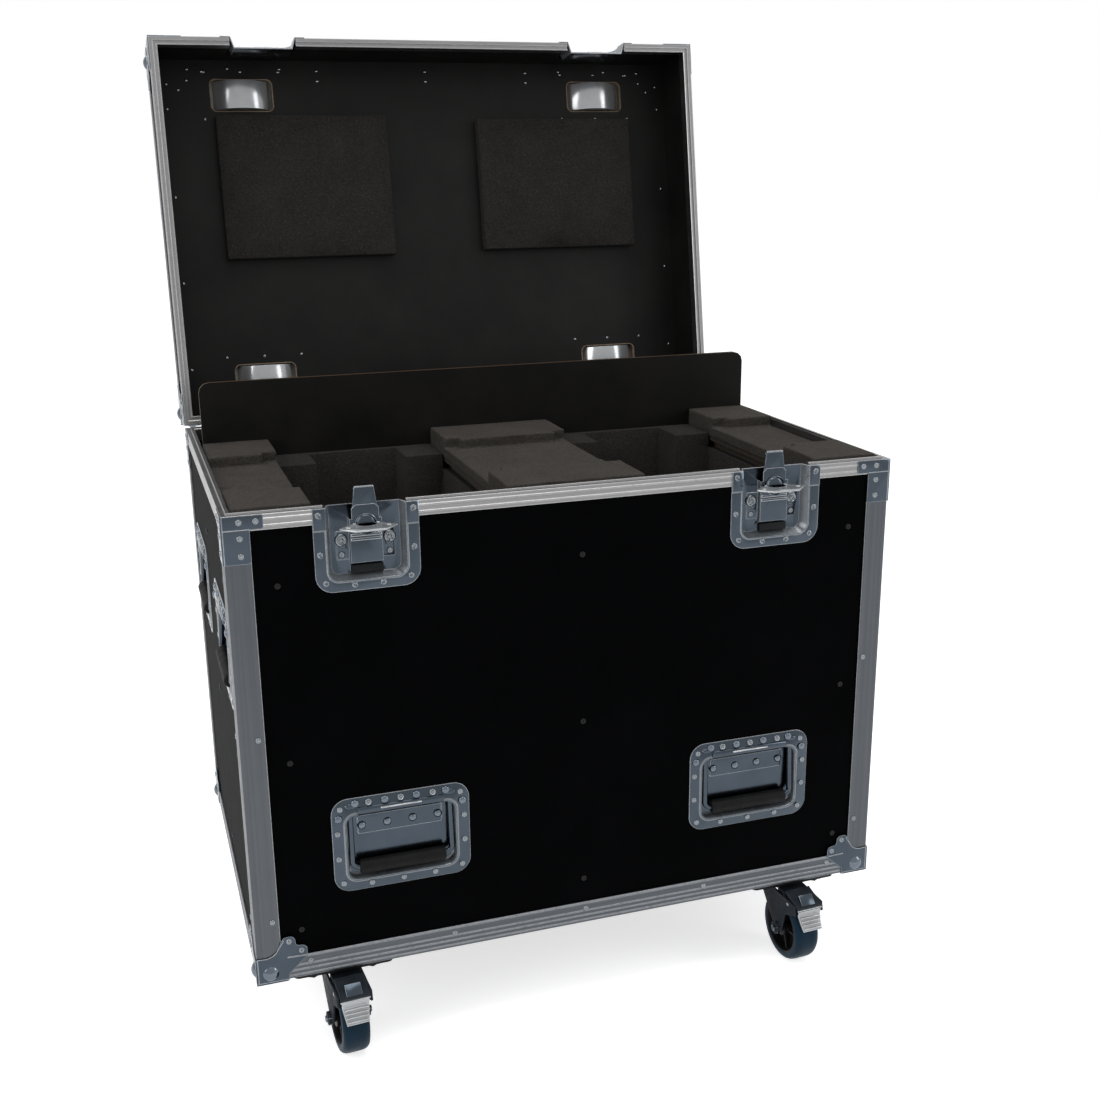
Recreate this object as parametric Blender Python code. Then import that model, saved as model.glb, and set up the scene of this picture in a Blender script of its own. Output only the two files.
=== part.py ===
"""Lighting flight case with an open lid, foam-lined wells, recessed hardware and castors.

Metres, +X to the right, +Y to the back, +Z up. The origin is the middle of the floor
panel's underside. The lid is modelled shut and then swung open about its hinge pins.
"""
import math

import bmesh
import bpy
from mathutils import Matrix, Vector
from mathutils.geometry import tessellate_polygon

# Overall sizes
CASE_WIDTH = 0.900
CASE_DEPTH = 0.592
BASE_HEIGHT = 0.630
LID_HEIGHT = 0.112
LID_OPEN_ANGLE = math.radians(99.4)

# Clearances
SEAT_GAP = 0.0003
CUT_ROOM = 0.0006
LID_GAP = 0.0005
FOAM_GAP = 0.0008
OVERRUN = 0.010

# Boards and extruded edges
PANEL = 0.009
EDGE_WALL = 0.0016
EDGE_LEG = 0.0325
EDGE_CHAMFER = 0.0012
RIM_LEG = 0.0195
RIM_INNER_LEG = 0.0185
GROOVE_START = 0.0062
GROOVE_WIDTH = 0.0046
GROOVE_DEPTH = 0.0030
TONGUE_HEIGHT = 0.0024
TONGUE_ROOM = 0.0004

# Pressed steel sheet
SHEET = 0.0012

# Corner braces at the closing edge
BRACE_ARM = 0.0493
BRACE_ARM_HEIGHT = 0.0180
BRACE_LEG = 0.0328
BRACE_LEG_HEIGHT = 0.0600

# Ball corners
BALL_RADIUS = 0.0185
BALL_CENTRE = 0.0145
BALL_REACH = 0.0410
BALL_SIDE_TOP = 0.0360
BALL_SWEEP_START = 0.0140
BALL_NECK = 0.0085
EAR_RADIUS = 0.0075
HIGH_EAR_ACROSS = 0.0432
HIGH_EAR_UP = 0.0557
LOW_EAR_ACROSS = 0.0588
LOW_EAR_UP = 0.0400
EAR_CORNER_SHARE = 0.9
FOOT_CUT_SHARE = 0.5

# Rivets
RIVET_RADIUS = 0.0032
RIVET_HEIGHT = 0.0014
RIVET_TOP_SHARE = 0.55
RIVET_SIDES = 6
BIG_RIVET_RADIUS = 0.0052
BIG_RIVET_HEIGHT = 0.0030

# Handles
HANDLE_WIDTH = 0.183
HANDLE_HEIGHT = 0.132
HANDLE_CORNER = 0.022
HANDLE_MOUTH_HALF = 0.072
HANDLE_MOUTH_LOW = 0.050
HANDLE_MOUTH_HIGH = 0.041
HANDLE_MOUTH_CORNER = 0.012
HANDLE_SLOT_HIGH = 0.0525
HANDLE_SLOT_INNER = 0.0590
HANDLE_DEPTH = 0.0125
HANDLE_TAPER = 0.0015
HANDLE_ROOM = 0.0026
FRONT_HANDLE_IN = 0.199
FRONT_HANDLE_UP = 0.1785
NEAR_SIDE_HANDLE_IN = 0.126
FAR_SIDE_HANDLE_IN = 0.158
SIDE_HANDLE_UP = 0.432
HANDLE_RIVET_ACROSS_SHARE = 0.871
HANDLE_HIGH_RIVET_SHARE = 0.788
HANDLE_LOW_RIVET_SHARE = 0.813
SPRING_PLATE_HALF = 0.056
SPRING_PLATE_LOW = 0.0085
SPRING_PLATE_CORNER = 0.006

# Handle bails
BAIL_ROD = 0.0040
BAIL_HALF = 0.0665
BAIL_BEND = 0.009
BAIL_PIVOT_BEND_SHARE = 1.25
BAIL_PIVOT_UP = 0.0458
BAIL_PIVOT_IN = 0.0068
BAIL_STUB_END = 0.054
GRIP_RADIUS = 0.0093
GRIP_LENGTH = 0.115
GRIP_DROP = 0.0793
GRIP_OUT = 0.0046
GRIP_CHAMFER = 0.0015

# Latches
LATCH_IN = 0.1725
LATCH_HALF = 0.0653
LATCH_LOW = 0.107
LATCH_CORNER = 0.022
LATCH_MOUTH_HALF = 0.0495
LATCH_MOUTH_LOW = 0.094
LATCH_MOUTH_CORNER = 0.014
LATCH_DEPTH = 0.0140
LATCH_TAPER = 0.0055
LATCH_JOGGLE_LOW = 0.0295
LATCH_JOGGLE_RUN = 0.0025
LATCH_EAR_RIVET_SHARE = 0.6
LATCH_LOW_RIVET_SHARE = 0.333
LATCH_CORNER_RIVET_SHARE = 0.25
LID_LATCH_HIGH = 0.072
LID_LATCH_MOUTH = 0.059
LID_LATCH_DEPTH = 0.0160
KEEPER_HALF = 0.0140
KEEPER_FRONT = 0.0123
KEEPER_UP = 0.0098
KEEPER_SHEET = 0.0015

# Latch works
HOUSING_HALF = 0.0202
HOUSING_FRONT = 0.0050
HOUSING_LOW = 0.0740
HOUSING_SHOULDER = 0.0180
HOUSING_CAP_HALF = 0.0170
HOUSING_CAP_TOP_HALF = 0.0120
HOUSING_CAP_CHAMFER = 0.0050
FOOT_HALF = 0.0360
FOOT_LOW = 0.0700
FOOT_HIGH = 0.0340
FOOT_CORNER = 0.006
STOP_HALF = 0.0195
STOP_LOW = 0.0868
STOP_HEIGHT = 0.0100
STOP_FRONT = 0.0060
SPINDLE_DROP = 0.0245
SPINDLE_RADIUS = 0.0050
SPINDLE_ROOM = 0.0006
BOSS_RADIUS = 0.0120
BOSS_RIM = 0.0022
BOSS_DOME = 0.0035
BOSS_SIDES = 16
WING_PIVOT_IN = 0.0015
WING_PIN = 0.0011
WING_PIN_HALF = 0.0165
WING_KNUCKLE = 0.0023
WING_PIN_ROOM = 0.0004
WING_SHEET = 0.0022
WING_HALF = 0.0360
WING_TIP_OUT = 0.0160
WING_FRONT_OUT = 0.0330
WING_FRONT_HALF = 0.0190
WING_ROOT_HALF = 0.0200
WING_HOLE_X = 0.0250
WING_HOLE_OUT = 0.0165
WING_HOLE = 0.0033
HOOK_SHEET = 0.0022
HOOK_FRONT = 0.0066
HOOK_LOW = 0.0400
HOOK_SHOULDER_HALF = 0.0160
HOOK_TOP_HALF = 0.0120
HOOK_HIGH = 0.0220
HOOK_LIP = 0.0030
HOOK_TRAVEL_DOWN = 0.0090
HOOK_TRAVEL_IN = 0.0030

# Castor dishes in the lid
CUP_IN_X = 0.144
CUP_IN_Y = 0.0663
CUP_PLATE_X = 0.145
CUP_PLATE_Y = 0.096
CUP_PLATE_CORNER = 0.008
CUP_RADIUS = 0.052
CUP_DEPTH = 0.0250
CUP_WIDTH = 0.0420
CUP_HOLE_X = 0.1016
CUP_HOLE_Y = 0.0518
CUP_HOLE_CORNER = 0.010
CUP_RIVET_PITCH = 0.0615
CUP_RIVET_ROW = 0.0375
CUP_STEPS = 8

# Hinge
HINGE_END = 0.060
HINGE_KNUCKLES = 5
HINGE_LEAF = 0.0015
HINGE_HEIGHT = 0.042
KNUCKLE_RADIUS = 0.0036
HINGE_PIN = 0.0016
HINGE_ROOM = 0.0004
KNUCKLE_SIDES = 10

# Divider board and the battens behind it
BOARD_THICKNESS = 0.008
BOARD_FRONT = 0.430
BOARD_TOP = 0.7235
BOARD_CORNER = 0.015
BOARD_SIDE_ROOM = 0.0036
STOP_BATTEN = 0.012
STOP_ROOM = 0.012

# Foam blocks and wells, measured from the front face and from the bottom edge
SIDE_BLOCK = 0.109
MIDDLE_BLOCK = 0.188
SLAB_TOP = 0.620
SLAB_THICKNESS = 0.0157
RAISED_THICKNESS = 0.015
FRONT_RAISED = 0.120
REAR_RAISED = 0.322
NOTCH_ACROSS = 0.021
NOTCH_ALONG = 0.016
PLY_SHEET = 0.006
SHELF_INSET = 0.0018
UPRIGHT_INSET = 0.012
LINING_FRONT = 0.016
LINING = 0.0115
LINING_TOP = 0.610
SIDE_LINING_TOP = 0.586
FLOOR_PAD = 0.020
POST_ACROSS = 0.058
POST_ALONG = 0.070

# Foam pads in the lid, measured from the nearer side and from the front edge
LID_PAD = 0.020
LEFT_PAD_IN = (0.097, 0.377)
LEFT_PAD_DEEP = (0.101, 0.330)
RIGHT_PAD_IN = (0.088, 0.366)
RIGHT_PAD_DEEP = (0.107, 0.327)

# Castors
CASTOR_X = 0.1143
CASTOR_Y = 0.0520
CASTOR_TURNS = {"front_left": math.radians(4.0), "front_right": math.radians(3.0),
                "back_left": math.radians(171.0), "back_right": math.radians(186.0)}
CASTOR_BOARD_X = 0.134
CASTOR_BOARD_INSET = 0.008
CASTOR_BOARD = 0.0080
CASTOR_BOARD_CORNER = 0.008
CASTOR_PLATE_X = 0.105
CASTOR_PLATE_Y = 0.080
CASTOR_PLATE = 0.0030
CASTOR_PLATE_CORNER = 0.006
CASTOR_BOLT_X = 0.040
CASTOR_BOLT_Y = 0.030
CASTOR_BOLT = 0.0065
CASTOR_BOLT_HEIGHT = 0.0045
RACE_RADIUS = 0.0260
RACE_HEIGHT = 0.0080
CROWN_RADIUS = 0.0300
CROWN_SHEET = 0.0030
CASTOR_SIDES = 20
TRAIL = 0.037
AXLE_DROP = 0.0800
AXLE = 0.0060
AXLE_ROOM = 0.0005
AXLE_NUT = 0.0095
AXLE_NUT_THICKNESS = 0.0050
FORK_INNER_HALF = 0.0210
FORK_SHEET = 0.0030
FORK_LOBE = 0.0110
FORK_BACK = 0.0240
FORK_HORN_OUT = 0.0840
FORK_HORN_DROP = 0.0360
FORK_HORN_TOP = 0.0225
FORK_WAIST_OUT = 0.0560
FORK_WAIST_DROP = 0.0480
WHEEL_RADIUS = 0.050
WHEEL_WIDTH = 0.037
HUB_RADIUS = 0.0390
HUB_WEB = 0.0120
HUB_BOSS = 0.0130
HUB_BOSS_HALF = 0.0190
TYRE_EDGE = 0.0060
WHEEL_SIDES = 24

# Brake pedals
PEDAL_PIVOT_OUT = 0.0620
PEDAL_PIVOT_DROP = 0.0275
PEDAL_PIN = 0.0028
PEDAL_SHEET = 0.0025
PEDAL_ARM_HALF = 0.0202
PEDAL_FACE_HALF = 0.0185
PEDAL_TAB_HALF = 0.0110
PEDAL_ARM = [(0.0560, 0.0215), (0.0865, 0.0272)]
PEDAL_TAB = [(0.0838, 0.0270), (0.0690, 0.0135)]
PEDAL_FACE = [(0.0845, 0.0262), (0.0862, 0.0310), (0.0850, 0.0370), (0.0890, 0.0460),
              (0.0970, 0.0570)]

# Faceting
ARC_STEPS = 3
ROD_RESOLUTION = 2
SMOOTH_ANGLE = math.radians(38.0)

# Places worked out from the sizes above
FRONT = -CASE_DEPTH / 2
BACK = CASE_DEPTH / 2
RIGHT = CASE_WIDTH / 2
BOTTOM = -(EDGE_WALL + SEAT_GAP)
RIM_TOP = BOTTOM + BASE_HEIGHT
LID_BOTTOM = RIM_TOP + LID_GAP
LID_TOP = LID_BOTTOM + LID_HEIGHT
SKIN = EDGE_WALL + SEAT_GAP
PANEL_OUT_X = RIGHT - SKIN
PANEL_OUT_Y = BACK - SKIN
INNER_X = PANEL_OUT_X - PANEL
INNER_Y = PANEL_OUT_Y - PANEL
RIM_THICKNESS = SKIN + PANEL + SKIN
LID_WEB = GROOVE_DEPTH + EDGE_WALL
LID_CEILING = LID_TOP - SKIN - PANEL
FRONT_HANDLE_X = RIGHT - FRONT_HANDLE_IN
LATCH_X = RIGHT - LATCH_IN
CUP_X = RIGHT - CUP_IN_X
CUP_Y = BACK - CUP_IN_Y
STOP_TOP = SIDE_HANDLE_UP - HANDLE_MOUTH_LOW - STOP_ROOM
HINGE_LENGTH = CASE_WIDTH - 2 * HINGE_END
HINGE_Y = BACK + SEAT_GAP + KNUCKLE_RADIUS
HINGE_Z = RIM_TOP + LID_GAP / 2
BODY_CENTRE = Vector((0, 0, 0))
HINGE_CENTRE = Vector((0, HINGE_Y, HINGE_Z))


# Scene and materials

def clear_scene():
    for old in list(bpy.data.objects):
        bpy.data.objects.remove(old, do_unlink=True)


def finish(name, colour, roughness, metallic):
    material = bpy.data.materials.new(name)
    material.use_nodes = True
    shader = material.node_tree.nodes["Principled BSDF"]
    shader.inputs["Base Color"].default_value = (*colour, 1)
    shader.inputs["Roughness"].default_value = roughness
    shader.inputs["Metallic"].default_value = metallic
    return material


def make_finishes():
    return {
        "laminate": finish("black_laminate", (0.012, 0.012, 0.013), 0.35, 0.0),
        "aluminium": finish("aluminium", (0.62, 0.62, 0.63), 0.35, 1.0),
        "zinc": finish("zinc_plated_steel", (0.42, 0.46, 0.52), 0.28, 1.0),
        "foam": finish("foam", (0.055, 0.050, 0.047), 0.95, 0.0),
        "ply": finish("birch_ply", (0.25, 0.18, 0.11), 0.70, 0.0),
        "rubber": finish("black_rubber", (0.015, 0.015, 0.015), 0.60, 0.0),
        "fork": finish("black_steel", (0.03, 0.035, 0.04), 0.40, 0.6),
        "wheel": finish("blue_tyre", (0.01, 0.05, 0.14), 0.50, 0.0),
    }


# Placing

def wall_place(centre, normal):
    """Local u runs across the wall, v runs up it and w points out of it."""
    out = Vector(normal)
    up = Vector((0, 0, 1))
    across = up.cross(out)
    turn = Matrix((across, up, out)).transposed().to_4x4()
    return Matrix.Translation(centre) @ turn


def front_place(across, up):
    return wall_place((across, FRONT, BOTTOM + up), (0, -1, 0))


def corner_places(low_corner, mirrored_in_z):
    """Matrices that carry a shape drawn at the front left corner to all four corners."""
    places = []
    for sign_x in (1, -1):
        for sign_y in (1, -1):
            scale = Matrix.Diagonal((sign_x, sign_y, -1 if mirrored_in_z else 1, 1))
            corner = (-sign_x * RIGHT, sign_y * FRONT, low_corner)
            places.append(Matrix.Translation(corner) @ scale)
    return places


def make_empty(name, place, parent=None):
    empty = bpy.data.objects.new(name, None)
    bpy.context.scene.collection.objects.link(empty)
    empty.parent = parent
    empty.matrix_basis = place
    return empty


# Outlines

def round_corners(points, radii, steps=ARC_STEPS):
    """Replaces each corner that has a radius with an arc."""
    outline = []
    count = len(points)
    for index, point in enumerate(points):
        here = Vector(point)
        radius = radii[index]
        if radius <= 0:
            outline.append(here)
            continue
        back = (Vector(points[index - 1]) - here).normalized()
        ahead = (Vector(points[(index + 1) % count]) - here).normalized()
        half = math.acos(max(-1, min(1, back.dot(ahead)))) / 2
        centre = here + (back + ahead).normalized() * (radius / math.sin(half))
        start = here + back * (radius / math.tan(half)) - centre
        stop = here + ahead * (radius / math.tan(half)) - centre
        first = math.atan2(start.y, start.x)
        sweep = math.atan2(stop.y, stop.x) - first
        sweep = (sweep + math.pi) % math.tau - math.pi
        for step in range(steps + 1):
            angle = first + sweep * step / steps
            outline.append(centre + Vector((math.cos(angle), math.sin(angle))) * radius)
    return outline


def rectangle(left, right, low, high, radius=0, steps=ARC_STEPS):
    corners = [(left, low), (right, low), (right, high), (left, high)]
    return round_corners(corners, [radius] * len(corners), steps)


def circle(centre_u, centre_v, radius, sides):
    turns = [math.tau * (step + 0.5) / sides for step in range(sides)]
    return [Vector((centre_u + radius * math.cos(turn), centre_v + radius * math.sin(turn)))
            for turn in turns]


def mirrored_outline(half):
    """Closes a half outline, drawn on the +u side from low to high, with its mirror image."""
    return list(half) + [(-u, v) for u, v in reversed(half)]


def inset(outline, distance):
    """Moves every side of an anticlockwise outline inwards by the distance."""
    moved = []
    count = len(outline)
    for index in range(count):
        here = Vector(outline[index])
        back = (here - Vector(outline[index - 1])).normalized()
        ahead = (Vector(outline[(index + 1) % count]) - here).normalized()
        normal_back = Vector((-back.y, back.x))
        normal_ahead = Vector((-ahead.y, ahead.x))
        bisector = (normal_back + normal_ahead).normalized()
        moved.append(here + bisector * (distance / bisector.dot(normal_ahead)))
    return moved


# Solids

def closed(shape):
    bmesh.ops.recalc_face_normals(shape, faces=shape.faces[:])
    return shape


def prism(outline, low, high, holes=()):
    """A flat plate between two heights, with holes right through it."""
    shape = bmesh.new()
    loops = [[Vector((*point, 0)) for point in loop] for loop in (outline, *holes)]
    rings = []
    for height in (low, high):
        for loop in loops:
            rings.append([shape.verts.new((point.x, point.y, height)) for point in loop])
    caps = (rings[:len(loops)], rings[len(loops):])
    triangles = tessellate_polygon(loops) if holes else [range(len(outline))]
    for cap in caps:
        verts = [vert for ring in cap for vert in ring]
        for triangle in triangles:
            shape.faces.new([verts[index] for index in triangle])
    for low_ring, high_ring in zip(*caps):
        count = len(low_ring)
        for index in range(count):
            after = (index + 1) % count
            side = (low_ring[index], low_ring[after], high_ring[after], high_ring[index])
            shape.faces.new(side)
    return closed(shape)


def box(low, high):
    return prism(rectangle(low[0], high[0], low[1], high[1]), low[2], high[2])


def bar(profile, start, end):
    """A length along x of a profile in (inwards, up)."""
    shape = bmesh.new()
    near = [shape.verts.new((start, u, height)) for u, height in profile]
    far = [shape.verts.new((end, u, height)) for u, height in profile]
    shape.faces.new(near)
    shape.faces.new(far)
    count = len(profile)
    for index in range(count):
        after = (index + 1) % count
        shape.faces.new((near[index], near[after], far[after], far[index]))
    return closed(shape)


def turned(profile, sides):
    """A solid turned about z from (radius, height) pairs, closed at both ends."""
    shape = bmesh.new()
    rings = []
    for radius, height in profile:
        if radius <= 0:
            rings.append([shape.verts.new((0, 0, height))])
            continue
        ring = circle(0, 0, radius, sides)
        rings.append([shape.verts.new((point.x, point.y, height)) for point in ring])
    for low, high in zip(rings, rings[1:]):
        for index in range(sides):
            after = (index + 1) % sides
            corners = {low[index % len(low)], low[after % len(low)],
                       high[after % len(high)], high[index % len(high)]}
            ordered = [low[index % len(low)], low[after % len(low)],
                       high[after % len(high)], high[index % len(high)]]
            unique = [vert for place, vert in enumerate(ordered) if vert not in ordered[:place]]
            if len(corners) > 2:
                shape.faces.new(unique)
    for ring in (rings[0], rings[-1]):
        if len(ring) > 1:
            shape.faces.new(ring)
    return closed(shape)


def ring_solid(profile, sides):
    """A ring turned about z from a closed loop of (radius, height) pairs."""
    shape = bmesh.new()
    rings = []
    for radius, height in profile:
        ring = circle(0, 0, radius, sides)
        rings.append([shape.verts.new((point.x, point.y, height)) for point in ring])
    for place, low in enumerate(rings):
        high = rings[(place + 1) % len(rings)]
        for index in range(sides):
            after = (index + 1) % sides
            shape.faces.new((low[index], low[after], high[after], high[index]))
    return closed(shape)


def dish(flange, mouth, floor, depth, sheet):
    """A pressed plate: a flat flange with its front at height 0, a sunk floor and walls."""
    shape = bmesh.new()
    mouth_back = inset(mouth, -sheet)
    floor_back = inset(floor, -sheet)

    def ring(outline, height):
        return [shape.verts.new((point[0], point[1], height)) for point in outline]

    def join(one, other):
        count = len(one)
        for index in range(count):
            after = (index + 1) % count
            shape.faces.new((one[index], one[after], other[after], other[index]))

    def fill(outer, outer_ring, inner, inner_ring):
        loops = [[Vector((*point, 0)) for point in loop] for loop in (outer, inner)]
        verts = outer_ring + inner_ring
        for triangle in tessellate_polygon(loops):
            shape.faces.new([verts[index] for index in triangle])

    front_edge = ring(flange, 0)
    back_edge = ring(flange, -sheet)
    front_mouth = ring(mouth, 0)
    back_mouth = ring(mouth_back, -sheet)
    front_floor = ring(floor, -depth)
    back_floor = ring(floor_back, -depth - sheet)
    fill(flange, front_edge, mouth, front_mouth)
    fill(flange, back_edge, mouth_back, back_mouth)
    join(front_edge, back_edge)
    join(front_mouth, front_floor)
    join(back_mouth, back_floor)
    shape.faces.new(front_floor)
    shape.faces.new(back_floor)
    return closed(shape)


def rod(path, radius, cyclic=False):
    """A round rod along a path of points, with flat ends."""
    curve = bpy.data.curves.new("rod_path", "CURVE")
    curve.dimensions = "3D"
    curve.bevel_depth = radius
    curve.bevel_resolution = ROD_RESOLUTION
    curve.use_fill_caps = True
    spline = curve.splines.new("POLY")
    spline.points.add(len(path) - 1)
    for point, place in zip(spline.points, path):
        point.co = (*place, 1)
    spline.use_cyclic_u = cyclic
    holder = bpy.data.objects.new("rod_path", curve)
    bpy.context.scene.collection.objects.link(holder)
    shape = evaluated_shape(holder)
    bpy.data.objects.remove(holder, do_unlink=True)
    bmesh.ops.remove_doubles(shape, verts=shape.verts[:], dist=radius * 0.001)
    return closed(shape)


def evaluated_shape(holder):
    """The holder's mesh as its modifiers leave it, as a bmesh in local axes."""
    graph = bpy.context.evaluated_depsgraph_get()
    graph.update()
    mesh = bpy.data.meshes.new_from_object(holder.evaluated_get(graph))
    shape = bmesh.new()
    shape.from_mesh(mesh)
    bpy.data.meshes.remove(mesh)
    return shape


def holder_of(shape, name):
    mesh = bpy.data.meshes.new(name)
    shape.to_mesh(mesh)
    shape.free()
    holder = bpy.data.objects.new(name, mesh)
    bpy.context.scene.collection.objects.link(holder)
    return holder


def combine(shape, tools, operation):
    """Unites the shape with its tools, or cuts the tools out of it."""
    body = holder_of(shape, "body")
    cutters = []
    for tool in tools:
        cutter = holder_of(tool, "cutter")
        cutter.hide_render = True
        cutter.display_type = "WIRE"
        change = body.modifiers.new("combine", "BOOLEAN")
        change.object = cutter
        change.operation = operation
        change.solver = "EXACT"
        cutters.append(cutter)
    result = evaluated_shape(body)
    for holder in (body, *cutters):
        bpy.data.objects.remove(holder, do_unlink=True)
    return result


def cut(shape, *tools):
    return combine(shape, tools, "DIFFERENCE")


def join(shape, *tools):
    return combine(shape, tools, "UNION")


def placed(shape, place):
    """A copy of the shape at a place; a mirroring place keeps the faces pointing out."""
    copy = shape.copy()
    bmesh.ops.transform(copy, matrix=place, verts=copy.verts[:])
    if place.determinant() < 0:
        bmesh.ops.reverse_faces(copy, faces=copy.faces[:])
    return copy


def turned_about_x(shape):
    """Turns a solid whose axis is z so that its axis is x."""
    return placed(shape, Matrix.Rotation(math.pi / 2, 4, "Y"))


def make_node(name, shape, material, parent, centre=BODY_CENTRE):
    """One named object of one closed body, its origin on its parent's axis."""
    bmesh.ops.translate(shape, verts=shape.verts[:], vec=-Vector(centre))
    mesh = bpy.data.meshes.new(name)
    shape.to_mesh(mesh)
    shape.free()
    mesh.materials.append(material)
    mesh.shade_smooth()
    mesh.set_sharp_from_angle(angle=SMOOTH_ANGLE)
    node = bpy.data.objects.new(name, mesh)
    bpy.context.scene.collection.objects.link(node)
    node.parent = parent


# Panels

def wall_ring(low, high):
    """The four walls as one closed box without a floor or a top."""
    outer = rectangle(-PANEL_OUT_X, PANEL_OUT_X, -PANEL_OUT_Y, PANEL_OUT_Y)
    inner = rectangle(-INNER_X, INNER_X, -INNER_Y, INNER_Y)
    return prism(outer, low, high, [inner])


def latch_cutter(side, low, high):
    """Block that notches the front where a latch dish stands."""
    half = LATCH_MOUTH_HALF + SHEET + CUT_ROOM
    centre = side * LATCH_X
    return box((centre - half, FRONT - OVERRUN, low), (centre + half, -INNER_Y + OVERRUN, high))


def handle_cutter():
    """Block that cuts a wall for the sunk part of a handle dish."""
    half = HANDLE_MOUTH_HALF + HANDLE_ROOM
    low = -HANDLE_MOUTH_LOW - HANDLE_ROOM
    high = HANDLE_SLOT_HIGH + HANDLE_ROOM
    corners = [(-half, low), (half, low), (half, high), (-half, high)]
    outline = round_corners(corners, [HANDLE_MOUTH_CORNER, HANDLE_MOUTH_CORNER, 0, 0])
    return prism(outline, -RIM_THICKNESS - OVERRUN, OVERRUN)


def base_panels(finishes, base):
    laminate = finishes["laminate"]
    floor = box((-PANEL_OUT_X, -PANEL_OUT_Y, 0), (PANEL_OUT_X, PANEL_OUT_Y, PANEL))
    make_node("base_floor_panel", floor, laminate, base)
    cutters = []
    for side in (-1, 1):
        notch_low = RIM_TOP - LATCH_MOUTH_LOW - SHEET - CUT_ROOM
        cutters.append(latch_cutter(side, notch_low, RIM_TOP))
    for _, place in handle_places():
        cutters.append(placed(handle_cutter(), place))
    walls = cut(wall_ring(PANEL + SEAT_GAP, RIM_TOP - SKIN), *cutters)
    make_node("base_wall_panels", walls, laminate, base)


def lid_box(finishes, lid):
    """Top and walls of the lid, with holes for the castor dishes and the latches."""
    low = LID_BOTTOM + LID_WEB + SEAT_GAP
    high = LID_CEILING + PANEL
    block = box((-PANEL_OUT_X, -PANEL_OUT_Y, low), (PANEL_OUT_X, PANEL_OUT_Y, high))
    cutters = [box((-INNER_X, -INNER_Y, low - OVERRUN), (INNER_X, INNER_Y, LID_CEILING))]
    for side in (-1, 1):
        notch_high = LID_BOTTOM + LID_LATCH_MOUTH + SHEET + CUT_ROOM
        cutters.append(latch_cutter(side, LID_BOTTOM, notch_high))
    half_x = CUP_HOLE_X / 2
    half_y = CUP_HOLE_Y / 2
    for x, y in cup_centres():
        hole = rectangle(x - half_x, x + half_x, y - half_y, y + half_y, CUP_HOLE_CORNER)
        cutters.append(prism(hole, LID_CEILING - OVERRUN, high + OVERRUN))
    make_node("lid_panels", cut(block, *cutters), finishes["laminate"], lid, HINGE_CENTRE)


def cup_centres():
    return [(x, y) for x in (-CUP_X, CUP_X) for y in (-CUP_Y, CUP_Y)]


# Extruded edges

def angle_profile():
    """The edge angle in (inwards, up), from the outer corner."""
    return [(0, EDGE_LEG), (0, EDGE_CHAMFER), (EDGE_CHAMFER, 0), (EDGE_LEG, 0),
            (EDGE_LEG, EDGE_WALL), (EDGE_WALL, EDGE_WALL), (EDGE_WALL, EDGE_LEG)]


def base_rim_profile():
    inner = RIM_THICKNESS
    start = GROOVE_START + TONGUE_ROOM
    end = GROOVE_START + GROOVE_WIDTH - TONGUE_ROOM
    return [(0, -RIM_LEG), (0, 0), (start, 0), (start, TONGUE_HEIGHT), (end, TONGUE_HEIGHT),
            (end, 0), (inner, 0), (inner, -RIM_INNER_LEG), (inner - EDGE_WALL, -RIM_INNER_LEG),
            (inner - EDGE_WALL, -EDGE_WALL), (EDGE_WALL, -EDGE_WALL), (EDGE_WALL, -RIM_LEG)]


def lid_rim_profile():
    inner = RIM_THICKNESS
    start = GROOVE_START
    end = GROOVE_START + GROOVE_WIDTH
    return [(0, RIM_LEG), (0, 0), (start, 0), (start, GROOVE_DEPTH), (end, GROOVE_DEPTH),
            (end, 0), (inner, 0), (inner, RIM_INNER_LEG), (inner - EDGE_WALL, RIM_INNER_LEG),
            (inner - EDGE_WALL, LID_WEB), (EDGE_WALL, LID_WEB), (EDGE_WALL, RIM_LEG)]


def frame_ring(profile, height):
    """A profile in (inwards, up) carried round the case with mitred corners."""
    shape = bmesh.new()
    rings = []
    for u, up in profile:
        x = RIGHT - u
        y = BACK - u
        level = height + up
        corners = [(-x, -y, level), (x, -y, level), (x, y, level), (-x, y, level)]
        rings.append([shape.verts.new(corner) for corner in corners])
    for place, ring in enumerate(rings):
        following = rings[(place + 1) % len(rings)]
        for index in range(4):
            after = (index + 1) % 4
            shape.faces.new((ring[index], ring[after], following[after], following[index]))
    return closed(shape)


def middle_cutter(height):
    """Block that takes the front length between the two latches out of a rim."""
    half = LATCH_X + LATCH_MOUTH_HALF + SHEET + CUT_ROOM
    return box((-half, FRONT - OVERRUN, height - EDGE_LEG),
               (half, FRONT + RIM_THICKNESS + OVERRUN, height + EDGE_LEG))


def corner_post(low, high):
    outline = [(EDGE_CHAMFER, 0), (EDGE_LEG, 0), (EDGE_LEG, EDGE_WALL), (EDGE_WALL, EDGE_WALL),
               (EDGE_WALL, EDGE_LEG), (0, EDGE_LEG), (0, EDGE_CHAMFER)]
    return prism(outline, low, high)


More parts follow.
